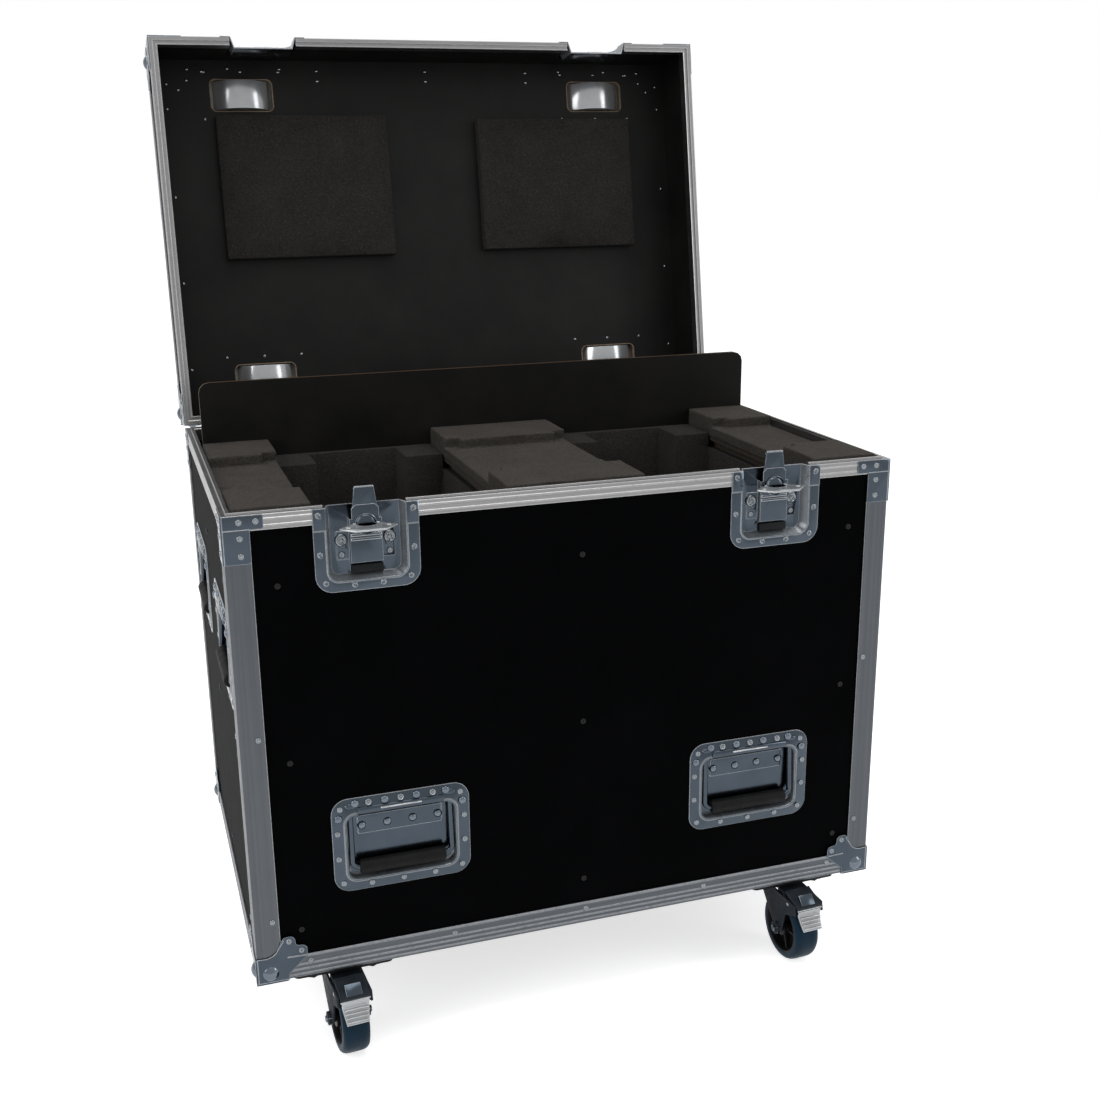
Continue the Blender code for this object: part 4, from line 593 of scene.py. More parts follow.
OUTER_BOARD = laminate_finish("outer_board", (0.0005, 0.0006, 0.0008), (0.0012, 0.0013, 0.0016),
                              0.62, 0.012)
LID_BOARD = laminate_finish("lid_board", (0.0034, 0.0033, 0.0032), (0.0074, 0.0071, 0.0067),
                            0.42, 0.12)
DIVIDER_BOARD = edged_board_finish()
PLY = ply_finish("birch_ply", (0.10, 0.070, 0.045), (0.22, 0.165, 0.112))
DARK_PLY = ply_finish("stained_ply", (0.014, 0.011, 0.009), (0.036, 0.028, 0.022))
FOAM = foam_finish("foam", (0.020, 0.018, 0.016), (0.062, 0.055, 0.049))
DARK_FOAM = foam_finish("lining_foam", (0.009, 0.0083, 0.0078), (0.034, 0.031, 0.0285))
PAD_FOAM = foam_finish("lid_foam", (0.007, 0.0066, 0.0062), (0.030, 0.028, 0.026), 0.0024)
EDGE_TONES = [(0.070, 0.077, 0.084), (0.084, 0.091, 0.099), 0.32, 0.40]
# painted highlight colour for the edges and creases of the aluminium extrusions
EDGE_HIGHLIGHT = (0.34, 0.35, 0.37)
EDGE_X = metal_finish("edge_metal_across", *EDGE_TONES, (2.0, 420.0, 420.0), EDGE_HIGHLIGHT, 0.01)
EDGE_Y = metal_finish("edge_metal_deep", *EDGE_TONES, (420.0, 2.0, 420.0), EDGE_HIGHLIGHT, 0.01)
EDGE_Z = metal_finish("edge_metal_upright", *EDGE_TONES, (420.0, 420.0, 2.0), EDGE_HIGHLIGHT, 0.01)
# the rim's last colour is its painted highlight on edges and creases
RIM_METAL = metal_finish("rim_metal", (0.20, 0.20, 0.205), (0.24, 0.24, 0.245), 0.30, 0.38,
                         (2.0, 400.0, 400.0), (0.52, 0.51, 0.50), 0.01)
# each steel's last colour is its painted highlight on edges and creases
STEEL = metal_finish("plated_steel", (0.046, 0.058, 0.072), (0.054, 0.067, 0.083), 0.17, 0.22,
                     edge_highlight=(0.27, 0.30, 0.33))
# painted light: a lighter, half metallic copy of the plated steel for dish walls, folds, beads and
# the hook lip
LIT_STEEL = metal_finish("steel_painted_lit", (0.14, 0.155, 0.17), (0.18, 0.195, 0.21), 0.24,
                             0.32, edge_highlight=(0.42, 0.44, 0.46), metallic=0.45)
# painted highlight: a much lighter copy of the plated steel for creases, ridge sides, the wing,
# the pedal and the castor dishes
HIGHLIGHT_STEEL = metal_finish("bright_steel", (0.30, 0.31, 0.32), (0.36, 0.37, 0.38), 0.16, 0.24,
                            edge_highlight=(0.60, 0.62, 0.64), metallic=0.6)
RIVET_STEEL = metal_finish("rivet_steel", (0.13, 0.145, 0.16), (0.18, 0.195, 0.21), 0.18, 0.26,
                           edge_highlight=(0.38, 0.40, 0.42))
DOME_STEEL = metal_finish("dome_steel", (0.10, 0.12, 0.145), (0.13, 0.15, 0.175), 0.16, 0.22)
DARK_STEEL = rubber_finish("dark_steel", (0.010, 0.013, 0.017), (0.018, 0.023, 0.029), 0.6)
BLACK_RIVET = rubber_finish("black_rivet", (0.003, 0.003, 0.003), (0.006, 0.006, 0.006), 0.35,
                            specular=0.15)
GRIP_RUBBER = rubber_finish("grip_rubber", (0.003, 0.003, 0.003), (0.006, 0.006, 0.006), 0.58)
BLACK_PAINT = rubber_finish("black_paint", (0.003, 0.0035, 0.004), (0.007, 0.008, 0.009), 0.4)
HUB_PLASTIC = rubber_finish("hub_plastic", (0.003, 0.003, 0.0035), (0.006, 0.006, 0.007), 0.42)
TYRE = rubber_finish("blue_tyre", (0.0015, 0.013, 0.026), (0.003, 0.019, 0.038), 0.45, 0.0015,
                     0.1)


def dress(piece, finish, body, replaces=()):
    """Gives a piece its finish and the body that carries it."""
    piece.data.materials.clear()
    piece.data.materials.append(finish)
    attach(piece, body)
    if replaces:
        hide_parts(*replaces)
    return piece


def plated(piece, finish, body, *replaces):
    """Dresses a piece of zinc-plated steel."""
    return dress(piece, finish, body, replaces)


def second_finish(piece, finish, chosen):
    """Gives another finish to the faces that the test picks."""
    piece.data.materials.append(finish)
    for face in piece.data.polygons:
        if chosen(face):
            face.material_index = 1
    return piece


def leaning(out, limit=0.93):
    """Picks the faces that lean away from the out direction."""
    return lambda face: abs(face.normal.dot(out)) < limit


def repaint(node, finish):
    """Gives a solid that is shown as it is its finish."""
    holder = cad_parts[node]
    for place in holder.material_slots:
        place.material = finish


# Rivets and screws: each kind is modelled once

def rivet_master(name, radius, height, sides):
    return smooth(turned_piece(name, [(radius, -0.0003), (radius, height * 0.25),
                                      (radius * 0.86, height * 0.68),
                                      (radius * 0.5, height * 0.95),
                                      (radius * 0.12, height)], sides), 60)


POP_RIVET = smooth(turned_piece("pop_rivet", [(0.0040, -0.0003), (0.0040, 0.0004),
                                             (0.0035, 0.0011), (0.0024, 0.0014),
                                             (0.0015, 0.0012), (0.0012, 0.0005),
                                             (0.0004, 0.0001)], 16), 60)
DOME_RIVET = rivet_master("dome_rivet", 0.0056, 0.0034, 16)
TAIL_RIVET = rivet_master("tail_rivet", 0.0024, 0.0012, 10)


RINGED_RIVET = smooth(turned_piece("ringed_rivet", [(0.0047, -0.0003), (0.0047, 0.0010),
                                                   (0.0040, 0.0021), (0.0030, 0.0023),
                                                   (0.0024, 0.0014), (0.0004, 0.0010)], 16), 60)


def rivet_row(name, master, spots, finish, body):
    """Many copies of a rivet at (place matrix, u, v, w) spots, as one piece."""
    heads = [copy_to(master, name, place @ Matrix.Translation((u, v, w)))
             for place, u, v, w in spots]
    return plated(fuse(name, heads), finish, body)


def both_sides(spots):
    """Each (u, v) spot and its mirror image."""
    mirrored = []
    for u, v in spots:
        mirrored.append((u, v))
        if u:
            mirrored.append((-u, v))
    return mirrored


# Extruded edges, in straight lengths with mitred corners

EDGE_RIBS = [0.0045, 0.0115, 0.0185, 0.0300]
RIM_RIBS = [-0.0142, -0.0060]


def rib_steps(heights, proud=0.0005, width=0.0022):
    """Steps up an outer skin with a raised rib at each height."""
    steps = []
    for height in heights:
        steps += [(0, height - width / 2), (-proud, height - width / 4),
                  (-proud, height + width / 4), (0, height + width / 2)]
    return steps


def corner_outline():
    """The angle that covers the bottom or top edge, in (inwards, up)."""
    return ([(EDGE_LEG, 0), (0.0012, 0), (0.0003, 0.0003), (0, 0.0012)] + rib_steps(EDGE_RIBS)
            + [(0, EDGE_LEG), (EDGE_WALL, EDGE_LEG), (EDGE_WALL, EDGE_WALL),
               (EDGE_LEG, EDGE_WALL)])


def base_rim_outline():
    """The rim with the raised tongue, its top at height 0."""
    return ([(0, -0.0195)] + rib_steps(RIM_RIBS)
            + [(0, -0.0006), (0.0005, 0), (0.0066, 0), (0.0068, 0.0022), (0.0072, 0.0024),
               (0.0101, 0.0024), (0.0104, 0.0022), (0.0106, 0), (0.0123, 0), (0.0128, -0.0005),
               (0.0128, -0.0185), (0.0112, -0.0185), (0.0112, -EDGE_WALL),
               (EDGE_WALL, -EDGE_WALL), (EDGE_WALL, -0.0195)])


def lid_rim_outline():
    """The rim with the groove, drawn with the lid shut and its closing edge at height 0."""
    return ([(0, 0.0195)] + [(u, -v) for u, v in rib_steps(RIM_RIBS)]
            + [(0, 0.0006), (0.0005, 0), (0.0056, 0), (0.0062, 0.0004), (0.0062, 0.0026),
               (0.0108, 0.0026), (0.0108, 0.0004), (0.0111, 0), (0.0123, 0), (0.0128, 0.0005),
               (0.0128, 0.0185), (0.0112, 0.0185), (0.0112, 0.0040), (EDGE_WALL, 0.0040),
               (EDGE_WALL, 0.0195)])


def edge_length(name, outline, start, stop, mitres):
    """A straight length of an extrusion; a mitred end follows the corner's diagonal."""
    piece = plate(name, outline, start, stop)
    middle = (start + stop) / 2
    for vert in piece.data.vertices:
        if vert.co.z < middle and mitres[0]:
            vert.co.z += vert.co.x
        if vert.co.z > middle and mitres[1]:
            vert.co.z -= vert.co.x
    return smooth(piece, 20)


def round_the_case(name, outline, level, notched):
    """Lengths on all four walls; a notched front leaves room for the two latches."""
    whole = [(-RIGHT, RIGHT, (True, True))]
    gaps = [(-RIGHT, -LATCH_X - NOTCH_HALF, (True, False)),
            (NOTCH_HALF - LATCH_X, LATCH_X - NOTCH_HALF, (False, False)),
            (LATCH_X + NOTCH_HALF, RIGHT, (False, True))]
    side = [(-BACK, BACK, (True, True))]
    pieces = []
    for quarter, reach, runs in ((0, BACK, gaps if notched else whole), (1, RIGHT, side),
                              (2, BACK, whole), (3, RIGHT, side)):
        place = (Matrix.Rotation(quarter * math.pi / 2, 4, "Z")
                 @ Matrix.Translation((0, -reach, level)) @ FACE_SIDE)
        for start, stop, mitres in runs:
            length = edge_length(name, outline, start, stop, mitres)
            length.data.transform(place)
            pieces.append(length)
    return fuse(name, pieces)


def upright_edge(low, high):
    """A corner post drawn at the front left corner, with ribs on both faces."""
    grooves = rib_steps(EDGE_RIBS, 0.0002)
    skin = [(0, EDGE_LEG)] + grooves[::-1] + [(0, 0.0012), (0.0003, 0.0003), (0.0012, 0)]
    skin += [(v, u) for u, v in grooves]
    skin += [(EDGE_LEG, 0), (EDGE_LEG, EDGE_WALL), (EDGE_WALL, EDGE_WALL),
             (EDGE_WALL, EDGE_LEG)]
    return smooth(plate("upright", skin, low, high), 20)


def build_edges():
    upper = [(u, -v) for u, v in corner_outline()]
    halves = [("base", "case", Matrix(), corner_outline(), BOTTOM, base_rim_outline(), RIM_TOP,
               (BOTTOM + 0.02, RIM_TOP - 0.012)),
              ("lid", "lid", LID_SWING, upper, LID_TOP, lid_rim_outline(), LID_BOTTOM,
               (LID_BOTTOM + 0.012, LID_TOP - 0.02))]
    for name, body, swing, corner, level, rim_outline, rim_level, reach in halves:
        ring = round_the_case(name + "_panel_edge", corner, level, False)
        rim = round_the_case(name + "_rim", rim_outline, rim_level, True)
        post = upright_edge(*reach)
        posts = fuse(name + "_posts", [copy_to(post, "post", place)
                                       for place in corner_places(0, False)])
        drop(post)
        for piece in (ring, rim, posts):
            piece.data.transform(swing)
        dress(ring, EDGE_X, body)
        dress(rim, RIM_METAL, body, [name + "_edge_frame", name + "_rim_front"])
        dress(posts, EDGE_Z if body == "case" else EDGE_Y, body)


# Corner braces and ball corners

def brace_master():
    """One pressed brace over a corner of the closing edge, drawn with the edge at height 0."""
    wrap = -SHEET
    outline = round_corners([(wrap, -0.060), (0.0328, -0.060), (0.0328, -0.018),
                             (0.0493, -0.018), (0.0493, -0.0003), (wrap, -0.0003)],
                            [0, 0.004, 0, 0.003, 0.002, 0])
    face = plate("brace", outline, -SHEET, EDGE_WALL / 2)
    edit(face, "DESELECT", "FACE")
    finish_edit()
    for side in face.data.polygons:
        side.select = abs(side.normal.z) > 0.9
    bpy.ops.object.mode_set(mode="EDIT")
    bpy.ops.mesh.bisect(plane_co=(0, -0.0180, 0), plane_no=(0, 1, 0))
    finish_edit()
    halves = [copy_to(face, "brace_half", FACE_FRONT), copy_to(face, "brace_half", FACE_SIDE)]
    drop(face)
    whole = fuse("brace", halves)
    soften(whole, 0.0004)
    corner = bent_rod("brace_corner", [(0, 0, -0.0598), (0, 0, -0.0005)], 0.0013)
    return fuse("brace", [smooth(whole), smooth(corner, 60)])


def face_rods(name, proud, lines):
    """Rods along (u, v) lines of their own radius, on both outer faces of a corner."""
    rods = []
    for points, radius in lines:
        rods.append(bent_rod(name, [(u, -proud, v) for u, v in points], radius))
        rods.append(bent_rod(name, [(-proud, u, v) for u, v in points], radius))
    return smooth(fuse(name, rods), 60)


def brace_crease_master():
    """The fold across the leg of a brace, on both faces, as a thin rod that carries a painted
    highlight.
    """
    return face_rods("brace_crease", 0.0011, [([(0.0012, -0.0176), (0.0322, -0.0176)], 0.0008)])


BRACE_RIVETS = [(0.0205, -0.0082), (0.0403, -0.0082), (0.0205, -0.0280), (0.0205, -0.0500)]
BRACE_FRONT = Matrix(((1, 0, 0, 0), (0, 0, -1, -SHEET), (0, 1, 0, 0), (0, 0, 0, 1)))
BRACE_SIDE = Matrix(((0, 0, -1, -SHEET), (1, 0, 0, 0), (0, 1, 0, 0), (0, 0, 0, 1)))


def corner_rivets(corner, spots):
    """Rivet places on both outer faces of a corner."""
    return [(corner @ face, u, v, 0) for face in (BRACE_FRONT, BRACE_SIDE) for u, v in spots]


def ball_master():
    """A pressed ball corner with two rivet ears on each upright face and a plate below."""
    outer = -0.0015
    high = 0.0557 + 0.0075
    points = [(outer, outer), (0.0410, outer), (0.0410, 0.0085), (0.0663, 0.0310),
              (0.0663, 0.0475), (0.0520, 0.0490), (0.0507, high), (0.0357, high),
              (0.0240, 0.0400), (0.0140, 0.0360), (outer, 0.0370)]
    radii = [0, 0.003, 0.004, 0.0075, 0.0072, 0.004, 0.0072, 0.0072, 0.008, 0.006, 0]
    face = plate("ear_plate", round_corners(points, radii), outer, SHEET)
    foot = plate("foot", round_corners([(outer, outer), (0.041, outer), (0.041, 0.018),
                                        (0.018, 0.041), (outer, 0.041)],
                                       [0, 0.003, 0.004, 0.004, 0]), outer, SHEET)
    domes = []
    for middle in ((0.0172, 0.0075, 0.0128), (0.0075, 0.0172, 0.0128)):
        let_go()
        bpy.ops.mesh.primitive_uv_sphere_add(segments=48, ring_count=32, radius=0.0138,
                                             location=middle)
        dome = settle(bpy.context.object, "dome")
        domes.append(cut_out(dome, block("inside", (-0.0002, -0.0002, -0.05), (0.1, 0.1, 0.1))))
    halves = [copy_to(face, "ear", FACE_FRONT), copy_to(face, "ear", FACE_SIDE)]
    for piece in (*halves, foot):
        soften(piece, 0.0005)
    drop(face)
    runs = [[(0, 0, -0.0002), (0, 0, 0.0362)], [(0, 0, 0), (0.0405, 0, 0)],
            [(0, 0, 0), (0, 0.0405, 0)]]
    rods = [bent_rod("fold", run, 0.0016) for run in runs]
    return (smooth(fuse("ball_corner", [*halves, foot, *rods]), 40),
            smooth(fuse("ball_domes", domes), 60))


def ball_bead_master():
    """The fold below the outer ear and the rolled upper edge, on both faces, as thin rods for a
    painted highlight.
    """
    return face_rods("ball_beads", 0.0014, [
        ([(0.0400, 0.0333), (0.0645, 0.0325)], 0.0012),
        ([(0.0010, 0.0369), (0.0130, 0.0360), (0.0205, 0.0383), (0.0255, 0.0420),
          (0.0352, 0.0565), (0.0360, 0.0595)], 0.0006)])


BALL_RIVETS = [(0.0432, 0.0557), (0.0588, 0.0400)]


def build_corners():
    masters = {"brace": brace_master(), "crease": brace_crease_master(),
               "bead": ball_bead_master()}
    masters["ball"], masters["domes"] = ball_master()
    halves = [("base", "case", Matrix(), RIM_TOP, BOTTOM, False),
              ("lid", "lid", LID_SWING, LID_BOTTOM, LID_TOP, True)]
    for half, body, swing, closing, outer, flipped in halves:
        upper = [swing @ place for place in corner_places(closing, flipped)]
        lower = [swing @ place for place in corner_places(outer, flipped)]
        # painted highlight: the creases and beads take the lit steel
        sets = [("brace", upper, half + "_corner_braces", STEEL),
                ("crease", upper, half + "_brace_creases", LIT_STEEL),
                ("bead", lower, half + "_ball_beads", LIT_STEEL)]
        if half == "lid":
            sets += [("ball", lower, "lid_ball_corners", STEEL),
                     ("domes", lower, "lid_ball_domes", DOME_STEEL)]
        for kind, places, name, finish in sets:
            copies = [copy_to(masters[kind], kind, place) for place in places]
            plated(fuse(name, copies), finish, body)
        spots = [spot for place in upper for spot in corner_rivets(place, BRACE_RIVETS)]
        spots += [spot for place in lower for spot in corner_rivets(place, BALL_RIVETS)]
        rivet_row(body + "_corner_rivets", POP_RIVET, spots, RIVET_STEEL, body)
    for name, place in zip(CORNER_NAMES, corner_places(BOTTOM, False)):
        plated(copy_to(masters["ball"], name + "_ball", place), STEEL, "case",
               name + "_ball_corner")
        plated(copy_to(masters["domes"], name + "_ball_domes", place), DOME_STEEL, "case")
    drop(*masters.values())


# Handles

HANDLE_POPS = both_sides([(0.0797, 0.0520), (0.0843, 0.0180), (0.0843, -0.0180),
                          (0.0797, -0.0537), (0.0425, -0.0586), (0, -0.0586)])
HANDLE_DOMES = both_sides([(0.0600, 0.0580), (0.0209, 0.0580), (0.0826, 0.0393)])
HANDLE_RINGS = both_sides([(0.0425, 0.0580), (0, 0.0580)])
PLATE_RIVETS = both_sides([(0.0510, 0.0205), (0.0170, 0.0205)])


DISH_FACE = -0.0004


def oval_dome(name, profile, centre, size, turned=Matrix()):
    """A turned form drawn out to another size along each axis."""
    dome = turned_piece(name, profile, 24)
    dome.data.transform(Matrix.Translation(centre) @ Matrix.Diagonal((*size, 1)) @ turned)
    return dome


def handle_trim_master():
    """The rolled band over the bail's bar with its pressed ends, and its crease."""
    bar = [(0.55, -1), (0.85, -0.99), (1, -0.97), (1, 0.97), (0.85, 0.99), (0.55, 1)]
    bulge = [(1, 0), (0.97, 0.3), (0.8, 0.65), (0.5, 0.9), (0.1, 1)]
    crease = smooth(oval_dome("crease", bar, (0, 0.0482, DISH_FACE), (0.0275, 0.0017, 0.0042),
                              TURN_TO_X), 60)
    pieces = [oval_dome("band", bar, (0, 0.0468, DISH_FACE), (0.0575, 0.0054, 0.0030),
                        TURN_TO_X)]
    pieces += [oval_dome("bulge", bulge, (side * 0.0655, 0.0545, DISH_FACE),
                         (0.0085, 0.0042, 0.0030)) for side in (-1, 1)]
    return smooth(fuse("handle_trim", pieces), 60), crease


DISH_STEPS = [(-0.0060, 0.008, -0.0125), (-0.0030, 0.010, -0.0121), (-0.0011, 0.0115, -0.0104),
              (-0.0006, 0.012, -0.0035), (0, 0.0125, -0.0010), (0.0010, 0.0135, 0.0004),
              (0.0024, 0.0148, 0.0007), (0.0038, 0.0160, 0.0001), (0.0046, 0.0168, -0.0004)]


def handle_dish_master():
    """The pressed dish: floor, walls, rolled mouth and a flat flange with round corners."""
    def mouth(grow, radius, height):
        return rectangle(-0.072 - grow, 0.072 + grow, -0.050 - grow, 0.041 + grow, radius,
                         10), height

    def flange(shrink, height):
        return rectangle(shrink - 0.0915, 0.0915 - shrink, shrink - 0.066, 0.066 - shrink,
                         0.022 - shrink, 10), height

    rings = [mouth(*step) for step in DISH_STEPS]
    rings += [flange(0.0005, -0.0004), flange(0, -0.0008), flange(0, -0.0016),
              mouth(0.0030, 0.0155, -0.0016), mouth(0.0010, 0.0135, -0.0030),
              mouth(0.0004, 0.0130, -0.0128), mouth(-0.0040, 0.0090, -0.0137)]
    dish = smooth(pressed_piece("handle_dish", rings), 40)
    back_plate = plate("back_plate", rectangle(-0.056, 0.056, 0.0085, 0.0345, 0.003),
                       -0.0126, -0.0113)
    soften(back_plate, 0.0004)
    return fuse("handle_dish", [dish, smooth(back_plate)])


BAIL_UP = 0.0458
BAIL_DROP = 0.0793
BAIL_IN = 0.0068


def bail_line():
    """The bent line of a bail, from one pivot round to the other."""
    half = 0.0665
    corners = [(-0.054, 0), (-half, 0), (-half, -BAIL_DROP), (half, -BAIL_DROP), (half, 0),
               (0.054, 0)]
    outline = round_corners(corners, [0, 0.005, 0.009, 0.009, 0.005, 0])
    return [(spot.x, spot.y + BAIL_UP, -spot.y * 0.058 - BAIL_IN) for spot in outline]


def grip_master():
    """The moulded grip with a soft end collar and shallow finger rings."""
    half = 0.0575
    profile = [(0.0068, -half), (0.0086, -half + 0.0006), (0.0092, -half + 0.0018)]
    for index in range(24):
        start = -half + 0.006 + index * 0.00435
        profile += [(0.0093, start), (0.0093, start + 0.0030), (0.00905, start + 0.0036)]
    profile += [(0.0092, half - 0.0018), (0.0086, half - 0.0006), (0.0068, half)]
    grip = turned_piece("grip", profile, 28)
    grip.data.transform(Matrix.Translation((0, BAIL_UP - BAIL_DROP, 0.0046 - BAIL_IN)) @ TURN_TO_X)
    return smooth(grip, 50)


def build_handles():
    dish = handle_dish_master()
    trim, crease = handle_trim_master()
    rod = smooth(bent_rod("bail_rod", bail_line(), 0.0040), 60)
    grip = grip_master()
    rows = [("pop", POP_RIVET, HANDLE_POPS, RIVET_STEEL, DISH_FACE),
            ("dome", DOME_RIVET, HANDLE_DOMES, DOME_STEEL, DISH_FACE),
            ("ring", RINGED_RIVET, HANDLE_RINGS, RIVET_STEEL, DISH_FACE),
            ("plate", DOME_RIVET, PLATE_RIVETS, DOME_STEEL, SHEET - HANDLE_DEPTH)]
    places = handle_places()
    for name, place in places:
        shell = copy_to(dish, name + "_handle_shell", place)
        plated(shell, STEEL, "case", name + "_handle_dish")
        # painted light: the dish's walls take the lighter lit steel
        second_finish(shell, LIT_STEEL, leaning(place.to_3x3() @ Vector((0, 0, 1))))
        plated(copy_to(trim, name + "_handle_trim", place), STEEL, "case")
        # painted highlight along the crease
        plated(copy_to(crease, name + "_handle_crease", place), HIGHLIGHT_STEEL, "case")
        plated(copy_to(rod, name + "_bail_rod", place), STEEL, name + "_bail",
               name + "_handle_bail")
        dress(copy_to(grip, name + "_grip", place), GRIP_RUBBER, name + "_bail")
    for kind, rivet, spots, finish, level in rows:
        rivet_row("handle_" + kind + "_rivets", rivet,
                  [(place, u, v, level) for _, place in places for u, v in spots], finish,
                  "case")
    drop(dish, trim, crease, rod, grip)


# Latches

LATCH_POPS = both_sides([(0.0586, -0.0082), (0.0584, -0.0582), (0.0532, -0.0949),
                         (0.0180, -0.0997)])


BRACE_FACE = 0.0015
LATCH_FLOOR = -0.0128
LATCH_PIVOT_DROP = 0.0245
FOOT_RIVETS = both_sides([(0.0300, -0.0635)])
FOOT_SCREWS = both_sides([(0.0302, -0.0450)])
KEEPER_POPS = [(0.0586, -0.0082, BRACE_FACE), (0.0560, -0.0450, DISH_FACE),
               (0.0300, -0.0655, DISH_FACE)]


def latch_place(side):
    return wall_place((side * LATCH_X, FRONT, RIM_TOP), (0, -1, 0))


def housing_trim_master():
    """Two pressed ridges across the housing's face, below the wing."""
    ridges = [soften(block("ridge", (-0.0192, level - 0.0020, -0.0060),
                           (0.0192, level + 0.0020, -0.0038)), 0.0010, 3)
              for level in (-0.0382, -0.0436)]
    return smooth(fuse("housing_trim", ridges), 50)


def latch_flange_master():
    """The flat flange below and beside the mouth, with a rolled bead round the mouth."""
    corners = [(-0.0656, 0), (-0.0656, -0.1073), (0.0656, -0.1073), (0.0656, 0), (0.0497, 0),
               (0.0497, -0.0942), (-0.0497, -0.0942), (-0.0497, 0)]
    outline = round_corners(corners, [0, 0.0219, 0.0219, 0, 0, 0.0140, 0.0140, 0], 10)
    face = soften(plate("latch_flange", outline, -0.0010, -0.0002), 0.0003)
    mouth = round_corners([(0.0499, -0.0004), (0.0499, -0.0944), (-0.0499, -0.0944),
                           (-0.0499, -0.0004)], [0, 0.0142, 0.0142, 0], 10)
    bead = bent_rod("latch_bead", [(spot[0], spot[1], -0.0005) for spot in mouth], 0.0012)
    return fuse("latch_flange", [smooth(face), smooth(bead, 60)])


def foot_screw_master():
    screw = turned_piece("foot_screw", [(0.0080, -0.0003), (0.0080, 0.0008), (0.0072, 0.0021),
                                        (0.0056, 0.0024), (0.0046, 0.0012), (0.0034, 0.0012),
                                        (0.0028, 0.0023), (0.0006, 0.0027)], 28)
    return smooth(screw, 60)


def boss_master():
    """The turning boss with its domed cap and the cross pin."""
    profile = [(0.0050, -0.0137), (0.0050, -0.0047), (0.0133, -0.0047), (0.0136, -0.0044),
               (0.0136, -0.0026), (0.0128, -0.0020), (0.0119, -0.0026)]
    for step in range(1, 7):
        angle = math.pi / 2 * step / 6.6
        profile.append((0.0116 * math.cos(angle), -0.0025 + 0.0037 * math.sin(angle)))
    boss = turned_piece("boss", profile, 36)
    pin = turned_piece("pin", [(0.0008, -0.0165), (0.0011, -0.0162), (0.0011, 0.0162),
                               (0.0008, 0.0165)], 12)
    pin.data.transform(Matrix.Translation((0, 0, -0.0015)) @ TURN_TO_X)
    return smooth(fuse("boss", [boss, pin]), 35)


def build_latches():
    trim = housing_trim_master()
    flange = latch_flange_master()
    screw = foot_screw_master()
    boss = boss_master()
    out = Vector((0, 1, 0))
    mirror = Matrix.Translation((0, LID_BOTTOM - RIM_TOP, 0)) @ Matrix.Diagonal((1, -1, 1, 1))
    pops = []
    screws = []
    keepers = []
    for name, side in (("left", -1), ("right", 1)):
        place = latch_place(side)
        # painted light: the latch and keeper dishes' walls take the lit steel, the wing the
        # highlight steel
        for node, kind, width, finish, body, second, toward in (
                ("latch_dish", "latch_shell", 0.0005, STEEL, "case", LIT_STEEL, out),
                ("latch_wing", "wing_plate", 0.0006, HIGHLIGHT_STEEL, name + "_wing", None, None),
                ("latch_hook", "hook_plate", 0.0006, STEEL, name + "_hook", None, None),
                ("keeper_dish", "keeper_shell", 0.0005, STEEL, "lid", LIT_STEEL,
                 LID_SWING.to_3x3() @ out)):
            piece = finer_copy(name + "_" + node, name + "_" + kind, width)
            plated(piece, finish, body, name + "_" + node)
            if second:
                second_finish(piece, second, leaning(toward))
        # painted highlight on the sides of the housing's ridges and on the flange's bead
        for master, kind, second, limit in ((trim, "housing_trim", HIGHLIGHT_STEEL, 0.97),
                                            (flange, "latch_flange", LIT_STEEL, 0.93)):
            piece = copy_to(master, name + "_" + kind, place)
            plated(piece, STEEL, "case")
            second_finish(piece, second, leaning(out, limit))
        # a black block below the housing
        stop = block(name + "_latch_black_block", (-0.0200, -0.0872, -0.0142),
                     (0.0200, -0.0764, -0.0055))
        soften(stop, 0.0012, 3)
        stop.data.transform(place)
        dress(smooth(stop), BLACK_PAINT, "case")
        pivot = place @ Matrix.Translation((0, -LATCH_PIVOT_DROP, 0))
        plated(copy_to(boss, name + "_latch_boss", pivot), STEEL, name + "_spindle",
               name + "_latch_spindle")
        low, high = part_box(name + "_latch_hook")
        ends = [(side * LATCH_X + across, low.y + 0.0008, high.z - 0.0010)
                for across in (-0.0113, 0.0113)]
        # painted highlight: the lip along the hook's edge takes the lit steel
        plated(smooth(bent_rod(name + "_hook_lip", ends, 0.0013), 60), LIT_STEEL,
               name + "_hook")
        pops += [(place, u, v, BRACE_FACE if v > -0.028 else DISH_FACE) for u, v in LATCH_POPS]
        pops += [(place, u, v, LATCH_FLOOR) for u, v in FOOT_RIVETS]
        screws += [(place, u, v, LATCH_FLOOR) for u, v in FOOT_SCREWS]
        lid_place = LID_SWING @ place @ mirror
        keepers += [(lid_place, sign * u, v, raised) for u, v, raised in KEEPER_POPS
                    for sign in (-1, 1)]
    rivet_row("latch_pop_rivets", POP_RIVET, pops, RIVET_STEEL, "case")
    rivet_row("latch_foot_screws", screw, screws, RIVET_STEEL, "case")
    rivet_row("keeper_rivets", POP_RIVET, keepers, RIVET_STEEL, "lid")
    drop(trim, flange, screw, boss)


# Castors

CASTOR_X = 0.3357
CASTOR_Y = 0.2440
CASTOR_TOP = -0.0022
TRAIL = 0.037
AXLE_Z = -0.0797
CASTOR_TURNS = {"front_left": 4.0, "front_right": 3.0, "back_left": 171.0,
                "back_right": 186.0}


def corner_spot(name, x, y):
    """The place of the corner with that name, x and y out from the middle."""
    return (x if name.endswith("right") else -x), (-y if name.startswith("front") else y)


def both_halves(profile):
    """A wheel's profile followed by its mirror image."""
    return profile + [(radius, -level) for radius, level in profile[::-1]]


